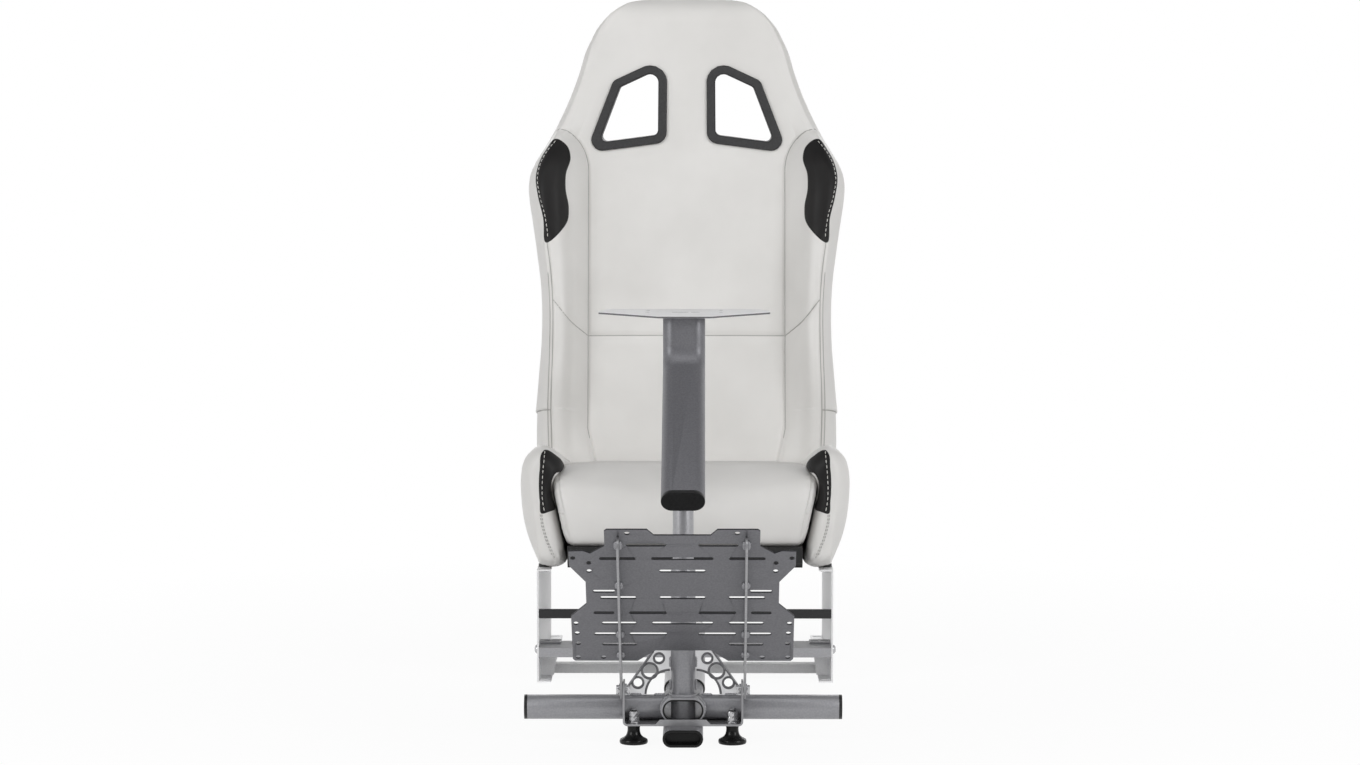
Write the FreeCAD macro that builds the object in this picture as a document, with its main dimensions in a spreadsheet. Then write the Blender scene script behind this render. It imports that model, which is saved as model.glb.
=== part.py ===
import FreeCAD, Part
import math
import os
import Sketcher

# Racing simulator seat: bucket seat, open steel frame, pedal plate and wheel column.
# Millimetres, +Z up, the pedals face -Y, the floor is Z = 0.

doc = FreeCAD.newDocument("SimulatorSeat")
sheet = doc.addObject("Spreadsheet::Sheet", "Dims")

SIZES = [
    ("origin_shift", 24.95),
    ("sheet_gauge", 2.5),
    ("tube_wall", 2.0),
    ("slide_fit", 0.5),
    ("turn_gap", 0.5),
    ("cut_over", 1.0),
    ("weld_sink", 3.0),
    ("oval_width", 57.0),
    ("oval_height", 29.0),
    ("spine_height", 27.0),
    ("spine_axis_z", 14.0),
    ("spine_front", -100.0),
    ("spine_rear", 470.0),
    ("collar_depth", 6.0),
    ("slider_front", -501.0),
    ("slider_rear", 90.0),
    ("plug_depth", 14.0),
    ("plug_recess", 2.0),
    ("post_y", -428.0),
    ("post_dia", 32.0),
    ("post_top", 232.0),
    ("stem_fit", 0.4),
    ("stem_foot", 96.0),
    ("cross_half", 203.0),
    ("cap_depth", 4.0),
    ("cap_insert", 12.0),
    ("cope_depth", 6.0),
    ("saddle_fore", 30.0),
    ("saddle_aft", 58.0),
    ("bracket_fore", 42.0),
    ("bracket_aft", 26.0),
    ("bracket_half", 78.0),
    ("bracket_lip", 6.0),
    ("bracket_wall", 57.0),
    ("bracket_bend", 6.0),
    ("sheet_edge", 1.0),
    ("ear_reach", 12.0),
    ("ear_rise", 4.0),
    ("lip_half", 38.0),
    ("lip_slant", 8.0),
    ("foot_x", 64.0),
    ("foot_fore", 27.0),
    ("foot_radius", 18.5),
    ("foot_rim", 7.0),
    ("foot_chamfer", 3.0),
    ("foot_neck", 8.5),
    ("foot_top", 24.5),
    ("stud_radius", 4.0),
    ("stud_top", 46.0),
    ("nut_radius", 7.5),
    ("nut_height", 6.5),
    ("washer_radius", 8.0),
    ("washer_height", 2.0),
    ("gusset_gauge", 4.0),
    ("gusset_arc", 33.0),
    ("gusset_toe", 66.0),
    ("gusset_top", 118.0),
    ("gusset_head", 38.0),
    ("pivot_fore", 25.0),
    ("pivot_z", 70.0),
    ("pivot_radius", 4.0),
    ("pedal_angle", 134.0),
    ("arm_length", 294.0),
    ("arm_half", 12.5),
    ("arm_gauge", 3.0),
    ("plate_low", 45.0),
    ("plate_high", 313.0),
    ("plate_half", 142.0),
    ("slot_radius", 2.6),
    ("hole_radius", 3.2),
    ("column_y", -478.0),
    ("column_z", 321.6),
    ("column_angle", 31.0),
    ("column_run", 275.0),
    ("column_bend", 45.0),
    ("stem_spare", 40.0),
    ("end_cap", 6.0),
    ("wheel_z", 539.5),
    ("wheel_front", -255.0),
    ("wheel_tip", -165.0),
    ("wheel_rear", -93.0),
    ("wheel_half", 117.0),
    ("wheel_side", 22.0),
    ("wheel_taper", 12.0),
    ("wheel_slot_back", 4.0),
    ("nose_half", 35.0),
    ("bolt_span_x", 100.0),
    ("bolt_span_y", 40.0),
    ("bolt_back", 48.0),
    ("side_half", 211.0),
    ("side_front", 37.0),
    ("side_depth", 440.0),
    ("side_top", 162.0),
    ("side_flange", 20.0),
    ("foot_slot_inset", 12.0),
    ("foot_slot_reach", 4.0),
    ("foot_plate_back", 52.0),
    ("foot_plate_low", 22.0),
    ("foot_plate_high", 28.0),
    ("beam_depth", 70.0),
    ("rear_bar_inset", 53.0),
    ("rear_bar_depth", 8.0),
    ("beam_top", 49.5),
    ("beam_lip", 13.5),
    ("tab_width", 30.0),
    ("tab_depth", 26.0),
    ("tab_slot_reach", 2.0),
    ("bar_low", 92.0),
    ("bar_height", 13.0),
    ("bar_gauge", 6.0),
    ("floor_bar_back", 84.0),
    ("floor_bar_depth", 24.0),
    ("floor_bar_height", 13.0),
    ("bolt_radius", 8.0),
    ("frame_bolt_radius", 7.0),
    ("bolt_dome", 5.0),
    ("spacer_radius", 9.0),
    ("spacer_height", 4.0),
    ("seat_bolt_inset", 38.0),
    ("pan_half", 167.0),
    ("pan_height", 30.0),
    ("pan_front", 22.0),
    ("pan_chamfer", 8.0),
    ("cushion_half", 190.0),
    ("cushion_edge", 94.0),
    ("cushion_shoulder", 18.0),
    ("cushion_front", 14.0),
    ("cushion_height", 110.0),
    ("cushion_nose", 55.0),
    ("cushion_fall", 0.0925),
    ("bolster_front", 24.0),
    ("bolster_half", 236.0),
    ("bolster_gap", 0.5),
    ("bolster_height", 172.0),
    ("bolster_rear", 128.0),
    ("back_y", 445.0),
    ("back_z", 290.0),
    ("back_lean", 9.7),
    ("back_foot", -100.0),
    ("back_top", 700.0),
    ("back_depth", 84.0),
    ("back_half", 247.0),
    ("head_depth", 57.6),
    ("back_corner", 26.0),
    ("wing_inner", 158.0),
    ("wing_depth", 60.0),
    ("wing_corner", 10.0),
    ("trim_lip", 3.0),
    ("trim_depth", 75.0),
]

for row, (name, value) in enumerate(SIZES, 1):
    sheet.set("A%d" % row, name)
    sheet.set("B%d" % row, str(value))
    sheet.setAlias("B%d" % row, name)
doc.recompute()


class Size:
    """A number together with the formula that binds it to the sheet."""

    def __init__(self, value, text):
        self.value = value
        self.text = text

    def __add__(self, other):
        o = size(other)
        return Size(self.value + o.value, "(%s + %s)" % (self.text, o.text))

    def __sub__(self, other):
        o = size(other)
        return Size(self.value - o.value, "(%s - %s)" % (self.text, o.text))

    def __mul__(self, other):
        o = size(other)
        return Size(self.value * o.value, "(%s * %s)" % (self.text, o.text))

    def __truediv__(self, other):
        o = size(other)
        return Size(self.value / o.value, "(%s / %s)" % (self.text, o.text))

    def __neg__(self):
        return size(0) - self

    __radd__ = __add__
    __rmul__ = __mul__

    def __rsub__(self, other):
        return size(other) - self


def size(number):
    """A Size as it is, or a plain number as a Size."""
    if isinstance(number, Size):
        return number
    return Size(float(number), "(%r)" % float(number))


def sine(angle):
    return Size(math.sin(math.radians(angle.value)), "sin(%s)" % angle.text)


def cosine(angle):
    return Size(math.cos(math.radians(angle.value)), "cos(%s)" % angle.text)


D = {name: Size(value, "Dims." + name) for name, value in SIZES}
ZERO = size(0)
PARTS = []
HELD = {}


def new_body(name):
    """A body for one node, shifted so that the part stands centred on the origin."""
    part = doc.addObject("PartDesign::Body", name)
    part.Label = name
    part.AllowCompound = True
    part.setExpression("Placement.Base.y", D["origin_shift"].text)
    PARTS.append(part)
    return part


def place(part, y, z, axis, angle):
    """Stands a body at (y, z), turned about the X line."""
    turn = FreeCAD.Rotation(FreeCAD.Vector(axis, 0, 0), angle.value)
    part.Placement = FreeCAD.Placement(FreeCAD.Vector(0, y.value, z.value), turn)
    part.setExpression("Placement.Base.y", (y + D["origin_shift"]).text)
    part.setExpression("Placement.Base.z", z.text)
    part.setExpression("Placement.Rotation.Angle", angle.text)


def sketch(part, role, offset=ZERO):
    """A sketch on one of the body's own planes, offset along that plane's normal."""
    plane = [f for f in part.Origin.OriginFeatures if f.Role == role][0]
    drawn = part.newObject("Sketcher::SketchObject", part.Name + "_sketch")
    drawn.AttachmentSupport = (plane, [""])
    drawn.MapMode = "FlatFace"
    drawn.AttachmentOffset = FreeCAD.Placement(
        FreeCAD.Vector(0, 0, size(offset).value), FreeCAD.Rotation()
    )
    drawn.setExpression("AttachmentOffset.Base.z", size(offset).text)
    return drawn


def tie(drawn, kind, *refs):
    """Holds a plain constraint until the sketch is closed."""
    HELD.setdefault(drawn.Name, []).append((Sketcher.Constraint(kind, *refs), None))


def bind(drawn, kind, *refs):
    """Holds a constraint whose last reference is a Size, with its formula."""
    amount = size(refs[-1])
    constraint = Sketcher.Constraint(kind, *refs[:-1], amount.value)
    HELD.setdefault(drawn.Name, []).append((constraint, amount.text))


def close(drawn):
    """Adds all held constraints at once, so that the sketch is solved once."""
    held = HELD.pop(drawn.Name)
    first = drawn.ConstraintCount
    drawn.addConstraint([constraint for constraint, text in held])
    for index, (constraint, text) in enumerate(held, first):
        if text:
            drawn.setExpression("Constraints[%d]" % index, text)


def fix_point(drawn, geometry, end, x, y):
    bind(drawn, "DistanceX", -1, 1, geometry, end, x)
    bind(drawn, "DistanceY", -1, 1, geometry, end, y)


def vector(point):
    return FreeCAD.Vector(size(point[0]).value, size(point[1]).value, 0)


def outline(drawn, points):
    """A closed run of straight edges through the points."""
    first = drawn.GeometryCount
    count = len(points)
    for i in range(count):
        drawn.addGeometry(Part.LineSegment(vector(points[i]), vector(points[(i + 1) % count])))
    for i in range(count):
        nxt = first + (i + 1) % count
        tie(drawn, "Coincident", first + i, 2, nxt, 1)
    for i, (x, y) in enumerate(points):
        fix_point(drawn, first + i, 1, size(x), size(y))


def circle(drawn, x, y, radius):
    """A full circle with its centre and radius bound."""
    disc = Part.Circle(vector((x, y)), FreeCAD.Vector(0, 0, 1), size(radius).value)
    index = drawn.addGeometry(disc)
    fix_point(drawn, index, 3, size(x), size(y))
    bind(drawn, "Radius", index, radius)


def slot(drawn, x0, x1, y, radius):
    """A straight slot along the sketch's X, from one end centre to the other."""
    x0, x1, y, radius = size(x0), size(x1), size(y), size(radius)
    up = FreeCAD.Vector(0, radius.value, 0)
    left, right = vector((x0, y)), vector((x1, y))
    round_left = Part.Circle(left, FreeCAD.Vector(0, 0, 1), radius.value)
    round_right = Part.Circle(right, FreeCAD.Vector(0, 0, 1), radius.value)
    a = drawn.addGeometry(Part.ArcOfCircle(round_left, math.pi / 2, 3 * math.pi / 2))
    b = drawn.addGeometry(Part.LineSegment(left - up, right - up))
    c = drawn.addGeometry(Part.ArcOfCircle(round_right, -math.pi / 2, math.pi / 2))
    d = drawn.addGeometry(Part.LineSegment(right + up, left + up))
    for one, end, two, start in ((a, 2, b, 1), (b, 2, c, 1), (c, 2, d, 1), (d, 2, a, 1)):
        tie(drawn, "Tangent", one, end, two, start)
    tie(drawn, "Equal", a, c)
    bind(drawn, "Radius", a, radius)
    fix_point(drawn, a, 3, x0, y)
    bind(drawn, "DistanceX", -1, 1, c, 3, x1)


def oval(drawn, width, height, z):
    """A flat-sided oval, wide across X."""
    reach = (width - height) / 2
    slot(drawn, -reach, reach, z, height / 2)


def pad(part, drawn, length):
    close(drawn)
    feature = part.newObject("PartDesign::Pad", part.Name + "_pad")
    feature.Profile = drawn
    feature.setExpression("Length", size(length).text)
    part.Tip = feature
    return feature


def pocket(part, drawn, length, reverse=False):
    close(drawn)
    feature = part.newObject("PartDesign::Pocket", part.Name + "_cut")
    feature.Profile = drawn
    feature.Reversed = reverse
    feature.setExpression("Length", size(length).text)
    part.Tip = feature
    return feature


def revolve(part, drawn):
    """Turns a half profile about the sketch's upright axis."""
    close(drawn)
    feature = part.newObject("PartDesign::Revolution", part.Name + "_turn")
    feature.Profile = drawn
    feature.ReferenceAxis = (drawn, ["V_Axis"])
    feature.Angle = 360
    part.Tip = feature
    return feature


def hexagon(drawn, x, y, radius):
    points = []
    for i in range(6):
        turn = math.radians(60 * i)
        points.append((x + radius * math.cos(turn), y + radius * math.sin(turn)))
    outline(drawn, points)


def rounded(drawn, x0, x1, y0, y1, corner):
    """A rectangle with equal round corners."""
    x0, x1, y0, y1, corner = (size(v) for v in (x0, x1, y0, y1, corner))
    centres = [(x0 + corner, y0 + corner), (x1 - corner, y0 + corner)]
    centres += [(x1 - corner, y1 - corner), (x0 + corner, y1 - corner)]
    arcs = []
    for i, centre in enumerate(centres):
        disc = Part.Circle(vector(centre), FreeCAD.Vector(0, 0, 1), corner.value)
        start = math.pi + i * math.pi / 2
        arcs.append(drawn.addGeometry(Part.ArcOfCircle(disc, start, start + math.pi / 2)))
    for i, arc in enumerate(arcs):
        nxt = arcs[(i + 1) % 4]
        g = drawn.Geometry
        line = drawn.addGeometry(Part.LineSegment(g[arc].EndPoint, g[nxt].StartPoint))
        tie(drawn, "Tangent", arc, 2, line, 1)
        tie(drawn, "Tangent", line, 2, nxt, 1)
        tie(drawn, "Horizontal" if i % 2 == 0 else "Vertical", line)
    for arc in arcs[1:]:
        tie(drawn, "Equal", arcs[0], arc)
    bind(drawn, "Radius", arcs[0], corner)
    fix_point(drawn, arcs[0], 3, *centres[0])
    fix_point(drawn, arcs[2], 3, *centres[2])


def rounded_loop(drawn, corners):
    """A closed outline of straight edges joined by arcs, from corners (x, y, radius)."""
    corners = [(size(x), size(y), size(r)) for x, y, r in corners]
    count = len(corners)
    spots = [vector(corner) for corner in corners]
    first = drawn.GeometryCount
    for i, (x, y, radius) in enumerate(corners):
        back = (spots[i - 1] - spots[i]).normalize()
        ahead = (spots[(i + 1) % count] - spots[i]).normalize()
        half = back.getAngle(ahead) / 2
        bisector = (back + ahead).normalize()
        centre = spots[i] + bisector * (radius.value / math.sin(half))
        run = radius.value / math.tan(half)
        starts, ends = spots[i] + back * run, spots[i] + ahead * run
        middle = centre - bisector * radius.value
        drawn.addGeometry(Part.Arc(starts, middle, ends))
    # The first and last points of each arc follow the turning sense, so the lines ask for them.
    for i in range(count):
        leave = nearer_end(drawn, first + i, spots[(i + 1) % count])
        reach = nearer_end(drawn, first + (i + 1) % count, spots[i])
        line = Part.LineSegment(
            drawn.getPoint(first + i, leave), drawn.getPoint(first + (i + 1) % count, reach)
        )
        index = drawn.addGeometry(line)
        tie(drawn, "Tangent", first + i, leave, index, 1)
        tie(drawn, "Tangent", index, 2, first + (i + 1) % count, reach)
    for i, (x, y, radius) in enumerate(corners):
        point = drawn.addGeometry(Part.Point(spots[i]), True)
        fix_point(drawn, point, 1, x, y)
        tie(drawn, "PointOnObject", point, 1, first + count + i)
        tie(drawn, "PointOnObject", point, 1, first + count + (i - 1) % count)
        bind(drawn, "Radius", first + i, radius)


def nearer_end(drawn, arc, spot):
    """Which end of an arc, 1 or 2, lies nearer to a spot."""
    gaps = [drawn.getPoint(arc, end).distanceToPoint(spot) for end in (1, 2)]
    return 1 if gaps[0] < gaps[1] else 2


def mirrored(half):
    """A closed outline from its right half, listed upwards."""
    return half + [(-x, y, r) for x, y, r in reversed(half)]


def trim_to(part, role, offset, corners, length):
    """Cuts away whatever lies outside a rounded outline."""
    drawn = sketch(part, role, offset)
    far = 2 * D["back_top"]
    outline(drawn, [(-far, -far), (far, -far), (far, far), (-far, far)])
    rounded_loop(drawn, corners)
    return pocket(part, drawn, length, True)


def broad_faces(shape, sense):
    """Names of a shape's flat faces that look forwards (-1) or backwards (1)."""
    names = []
    for number, face in enumerate(shape.Faces, 1):
        if isinstance(face.Surface, Part.Plane) and face.normalAt(0, 0).y * sense > 0.9:
            names.append("Face%d" % number)
    return names


def round_edges(part, base, faces, radius):
    """Rounds every edge of the chosen faces."""
    feature = part.newObject("PartDesign::Fillet", part.Name + "_round")
    feature.Base = (base, faces)
    feature.setExpression("Radius", size(radius).text)
    part.Tip = feature
    return feature


def loft(part, sections):
    """A ruled loft through round-cornered sections (height, x0, x1, y0, y1, corner)."""
    drawn = []
    for height, x0, x1, y0, y1, corner in sections:
        level = sketch(part, "XY_Plane", height)
        rounded(level, x0, x1, y0, y1, corner)
        close(level)
        drawn.append(level)
    feature = part.newObject("PartDesign::AdditiveLoft", part.Name + "_loft")
    feature.Profile = drawn[0]
    feature.Sections = drawn[1:]
    feature.Ruled = True
    part.Tip = feature
    return feature


SIDES = (("left", -1), ("right", 1))

# Sizes that several pieces share
slider_width = D["oval_width"] - 2 * D["tube_wall"] - 2 * D["slide_fit"]
slider_height = D["spine_height"] - 2 * D["tube_wall"] - 2 * D["slide_fit"]
bracket_floor = D["spine_axis_z"] + slider_height / 2
bracket_top = bracket_floor + D["sheet_gauge"]
post_radius = D["post_dia"] / 2
tube_z = bracket_top + post_radius
saddle_top = bracket_top + D["post_dia"]
side_inner = D["side_half"] - D["sheet_gauge"]
side_rear = D["side_front"] + D["side_depth"]
seat_floor = D["side_top"] + D["spacer_height"]
pan_top = seat_floor + D["pan_height"]
beam_low = D["beam_top"] - D["beam_lip"]

# Spine tube under the seat, with its front collar
spine = new_body("spine_tube")
s = sketch(spine, "XZ_Plane", -D["spine_rear"])
oval(s, D["oval_width"], D["spine_height"], D["spine_axis_z"])
oval(
    s,
    D["oval_width"] - 2 * D["tube_wall"],
    D["spine_height"] - 2 * D["tube_wall"],
    D["spine_axis_z"],
)
pad(spine, s, D["spine_rear"] - D["spine_front"])

collar = new_body("spine_collar")
s = sketch(collar, "XZ_Plane", -D["spine_front"])
oval(s, D["oval_width"], D["spine_height"], D["spine_axis_z"])
oval(s, slider_width + D["slide_fit"], slider_height + D["slide_fit"], D["spine_axis_z"])
pad(collar, s, D["collar_depth"])

# Side plates: channel section with bolting slots in the foot flange and a plate below the beam
for side, sign in SIDES:
    plate = new_body("side_plate_" + side)
    outer = sign * D["side_half"]
    inner = sign * side_inner
    toe = sign * (D["side_half"] - D["side_flange"])
    low = D["sheet_gauge"]
    high = D["side_top"] - D["sheet_gauge"]
    s = sketch(plate, "XZ_Plane", -side_rear)
    outline(
        s,
        [
            (outer, 0),
            (outer, D["side_top"]),
            (toe, D["side_top"]),
            (toe, high),
            (inner, high),
            (inner, low),
            (toe, low),
            (toe, 0),
        ],
    )
    pad(plate, s, D["side_depth"])
    s = sketch(plate, "XZ_Plane", -(D["side_front"] + D["foot_plate_back"] + D["sheet_gauge"]))
    under = D["beam_top"] - D["sheet_gauge"]
    outline(
        s,
        [
            (inner, low),
            (sign * (D["side_half"] - D["foot_plate_low"]), low),
            (sign * (D["side_half"] - D["foot_plate_high"]), under),
            (inner, under),
        ],
    )
    pad(plate, s, D["sheet_gauge"])
    s = sketch(plate, "XY_Plane", D["sheet_gauge"])
    mid = sign * (D["side_half"] - D["side_flange"] / 2)
    reach = D["foot_slot_reach"]
    for along in (D["side_front"] + D["foot_slot_inset"], side_rear - D["foot_slot_inset"]):
        slot(s, mid - reach, mid + reach, along, D["hole_radius"])
    pocket(plate, s, D["sheet_gauge"])

# Front cross beam between the side plates, lips turned down, and the flat rear bar
beam_front = D["side_front"]
beam_rear = beam_front + D["beam_depth"]
beam = new_body("front_beam")
gauge = D["sheet_gauge"]
under = D["beam_top"] - gauge
s = sketch(beam, "YZ_Plane", -side_inner)
outline(
    s,
    [
        (beam_front, beam_low),
        (beam_front, D["beam_top"]),
        (beam_rear, D["beam_top"]),
        (beam_rear, beam_low),
        (beam_rear - gauge, beam_low),
        (beam_rear - gauge, under),
        (beam_front + gauge, under),
        (beam_front + gauge, beam_low),
    ],
)
pad(beam, s, 2 * side_inner)

bar_front = side_rear - D["rear_bar_inset"]
bar_rear = bar_front + D["rear_bar_depth"]
bar = new_body("rear_beam")
s = sketch(bar, "YZ_Plane", -side_inner)
outline(
    s,
    [
        (bar_front, beam_low),
        (bar_rear, beam_low),
        (bar_rear, D["beam_top"]),
        (bar_front, D["beam_top"]),
    ],
)
pad(bar, s, 2 * side_inner)

# Blocks that carry the beam and the bar on the spine
blocks = new_body("spine_blocks")
spine_top = D["spine_axis_z"] + D["spine_height"] / 2
flat_half = (D["oval_width"] - D["spine_height"]) / 2
s = sketch(blocks, "XY_Plane", spine_top)
for front, rear in ((beam_front, beam_rear), (bar_front, bar_rear)):
    outline(s, [(-flat_half, front), (flat_half, front), (flat_half, rear), (-flat_half, rear)])
pad(blocks, s, beam_low - spine_top)

# Slotted corner tabs on the front beam
tabs = new_body("corner_tabs")
s = sketch(tabs, "XY_Plane", D["beam_top"])
rear = beam_rear
front = rear - D["tab_depth"]
for sign in (-1, 1):
    x0 = sign * side_inner
    x1 = sign * (side_inner - D["tab_width"])
    outline(s, [(x0, front), (x1, front), (x1, rear), (x0, rear)])
    for share in (0.27, 0.73):
        centre = sign * (side_inner - D["tab_width"] * share)
        reach = D["tab_slot_reach"]
        slot(s, centre - reach, centre + reach, rear - D["tab_depth"] / 2, D["hole_radius"])
pad(tabs, s, D["sheet_gauge"])

# Dark brace bar between the side plates
brace = new_body("brace_bar")
s = sketch(brace, "YZ_Plane", -side_inner)
y0 = D["side_front"]
y1 = y0 + D["bar_gauge"]
z1 = D["bar_low"] + D["bar_height"]
outline(s, [(y0, D["bar_low"]), (y1, D["bar_low"]), (y1, z1), (y0, z1)])
pad(brace, s, 2 * side_inner)

# Floor bars from the spine to the foot flanges
floor_bars = new_body("floor_bars")
s = sketch(floor_bars, "XY_Plane")
y0 = D["side_front"] + D["floor_bar_back"]
y1 = y0 + D["floor_bar_depth"]
for sign in (-1, 1):
    x0 = sign * (flat_half + D["tube_wall"])
    x1 = sign * (D["side_half"] - D["side_flange"])
    outline(s, [(x0, y0), (x1, y0), (x1, y1), (x0, y1)])
pad(floor_bars, s, D["floor_bar_height"])
s = sketch(floor_bars, "XZ_Plane", -(y1 + D["cut_over"]))
oval(s, D["oval_width"], D["spine_height"], D["spine_axis_z"])
pocket(floor_bars, s, D["floor_bar_depth"] + 2 * D["cut_over"], True)

# Domed bolts that hold the beams from outside
bolts = new_body("frame_bolts")
for side, sign in SIDES:
    start = sign * D["side_half"] if sign > 0 else sign * D["side_half"] - D["bolt_dome"]
    s = sketch(bolts, "YZ_Plane", start)
    for along in ((beam_front + beam_rear) / 2, (bar_front + bar_rear) / 2):
        circle(s, along, D["beam_top"] - D["beam_lip"] / 2, D["frame_bolt_radius"])
    pad(bolts, s, D["bolt_dome"])

# Seat spacers and the bolts below them
spacers = new_body("seat_spacers")
bolts = new_body("seat_bolts")
s = sketch(spacers, "XY_Plane", D["side_top"])
b = sketch(bolts, "XY_Plane", D["side_top"] - D["sheet_gauge"] - D["bolt_dome"])
for sign in (-1, 1):
    for along in (D["side_front"] + D["seat_bolt_inset"], side_rear - 2 * D["seat_bolt_inset"]):
        across = sign * (D["side_half"] - D["side_flange"] / 2)
        circle(s, across, along, D["spacer_radius"])
        hexagon(b, across, along, D["frame_bolt_radius"])
pad(spacers, s, D["spacer_height"])
pad(bolts, b, D["bolt_dome"])

# Sliding front spine with its plug
slider = new_body("front_spine")
s = sketch(slider, "XZ_Plane", -D["slider_rear"])
oval(s, slider_width, slider_height, D["spine_axis_z"])
bore_width = slider_width - 2 * D["tube_wall"]
bore_height = slider_height - 2 * D["tube_wall"]
oval(s, bore_width, bore_height, D["spine_axis_z"])
pad(slider, s, D["slider_rear"] - D["slider_front"])

plug = new_body("front_spine_plug")
s = sketch(plug, "XZ_Plane", -(D["slider_front"] + D["plug_recess"] + D["plug_depth"]))
oval(s, bore_width, bore_height, D["spine_axis_z"])
pad(plug, s, D["plug_depth"])

# Pedal bracket: a folded pan with a front lip and two ears
bracket = new_body("pedal_bracket")
pan_front = D["post_y"] - D["bracket_fore"]
pan_rear = D["post_y"] + D["bracket_aft"]
half = D["bracket_half"]
gauge = D["sheet_gauge"]
ear_top = bracket_floor + D["bracket_wall"]
s = sketch(bracket, "XZ_Plane", -pan_rear)
bend = D["bracket_bend"]
fold = [
    (half, bracket_floor, bend),
    (half, ear_top, D["sheet_edge"]),
    (half - gauge, ear_top, D["sheet_edge"]),
    (half - gauge, bracket_top, bend - gauge),
]
rounded_loop(s, mirrored(fold))
pad(bracket, s, pan_rear - pan_front)
s = sketch(bracket, "XZ_Plane", -(pan_front + gauge))
lip_top = bracket_top + D["bracket_lip"]
outline(
    s,
    [
        (-D["lip_half"], bracket_floor),
        (D["lip_half"], bracket_floor),
        (D["lip_half"] - D["lip_slant"], lip_top),
        (D["lip_slant"] - D["lip_half"], lip_top),
    ],
)
pad(bracket, s, gauge)
s = sketch(bracket, "YZ_Plane", -half - D["cut_over"])
circle(s, D["post_y"], tube_z, post_radius)
pocket(bracket, s, 2 * (half + D["cut_over"]), True)
s = sketch(bracket, "YZ_Plane", -half - D["cut_over"])
circle(s, D["post_y"] - D["pivot_fore"], D["pivot_z"], D["pivot_radius"])
pocket(bracket, s, 2 * (half + D["cut_over"]), True)
s = sketch(bracket, "YZ_Plane", -half - D["cut_over"])
outline(
    s,
    [
        (D["post_y"] - D["pivot_fore"] + D["ear_reach"], ear_top + D["cut_over"]),
        (pan_rear + D["cut_over"], ear_top + D["cut_over"]),
        (pan_rear + D["cut_over"], tube_z),
        (D["post_y"] + post_radius, tube_z),
        (D["post_y"], saddle_top + D["ear_rise"]),
    ],
)
pocket(bracket, s, 2 * (half + D["cut_over"]), True)
s = sketch(bracket, "XY_Plane", bracket_top)
for sign in (-1, 1):
    circle(s, sign * D["foot_x"], D["post_y"] - D["foot_fore"], D["stud_radius"])
pocket(bracket, s, gauge)

# Oval saddle that carries the post
saddle = new_body("post_saddle")
s = sketch(saddle, "XZ_Plane", -(D["post_y"] + D["saddle_aft"]))
oval(s, D["oval_width"], D["post_dia"], tube_z)
oval(s, D["oval_width"] - 2 * D["tube_wall"], D["post_dia"] - 2 * D["tube_wall"], tube_z)
pad(saddle, s, D["saddle_fore"] + D["saddle_aft"])
s = sketch(saddle, "XY_Plane", saddle_top + D["cut_over"])
circle(s, 0, D["post_y"], post_radius)
pocket(saddle, s, post_radius)

# Lower post
post = new_body("lower_post")
post_foot = bracket_top + D["tube_wall"]
s = sketch(post, "XY_Plane", post_foot)
circle(s, 0, D["post_y"], post_radius)
circle(s, 0, D["post_y"], post_radius - D["tube_wall"])
pad(post, s, D["post_top"] - post_foot)

# Cross tube halves, coped onto the saddle, with end caps
for side, sign in SIDES:
    tube = new_body("cross_tube_" + side)
    inner = D["oval_width"] / 2 - D["cope_depth"]
    s = sketch(tube, "YZ_Plane", inner if sign > 0 else -D["cross_half"])
    circle(s, D["post_y"], tube_z, post_radius)
    circle(s, D["post_y"], tube_z, post_radius - D["tube_wall"])
    pad(tube, s, D["cross_half"] - inner)
    s = sketch(tube, "XZ_Plane", -(D["post_y"] + D["saddle_aft"]))
    oval(s, D["oval_width"], D["post_dia"], tube_z)
    pocket(tube, s, D["saddle_fore"] + D["saddle_aft"], True)

    cap = new_body("cross_tube_cap_" + side)
    s = sketch(cap, "YZ_Plane", D["cross_half"] if sign > 0 else -D["cross_half"] - D["cap_depth"])
    circle(s, D["post_y"], tube_z, post_radius)
    pad(cap, s, D["cap_depth"])
    s = sketch(cap, "YZ_Plane", D["cross_half"] - D["cap_insert"] if sign > 0 else -D["cross_half"])
    circle(s, D["post_y"], tube_z, post_radius - D["tube_wall"])
    pad(cap, s, D["cap_insert"])

# Lightened gussets between cross tube and post, inside the bracket's walls
GUSSET_HOLES = [(31.5, 107.5, 6.6), (43.5, 91.0, 10.2), (59.0, 75.5, 7.2)]
gusset_reach = D["bracket_half"] - D["sheet_gauge"] - D["slide_fit"]
for side, sign in SIDES:
    gusset = new_body("gusset_" + side)
    foot = tube_z + post_radius - D["weld_sink"]
    stem_side = post_radius - D["weld_sink"]
    arc_z = saddle_top
    s = sketch(gusset, "XZ_Plane", -(D["post_y"] + D["gusset_gauge"] / 2))
    outline(
        s,
        [
            (sign * stem_side, foot),
            (sign * gusset_reach, foot),
            (sign * gusset_reach, D["gusset_toe"]),
            (sign * D["gusset_head"], D["gusset_top"]),
            (sign * stem_side, D["gusset_top"]),
        ],
    )
    for across, height, radius in GUSSET_HOLES:
        circle(s, sign * across, height, radius)
    pad(gusset, s, D["gusset_gauge"])
    s = sketch(gusset, "XZ_Plane", -(D["post_y"] + D["gusset_gauge"]))
    circle(s, sign * post_radius, arc_z, D["gusset_arc"])
    pocket(gusset, s, 2 * D["gusset_gauge"], True)
    s = sketch(gusset, "YZ_Plane", -D["cross_half"])
    circle(s, D["post_y"], tube_z, post_radius)
    pocket(gusset, s, 2 * D["cross_half"], True)
    s = sketch(gusset, "XY_Plane", D["gusset_top"] + D["cut_over"])
    circle(s, 0, D["post_y"], post_radius)
    pocket(gusset, s, D["gusset_top"])

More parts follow.
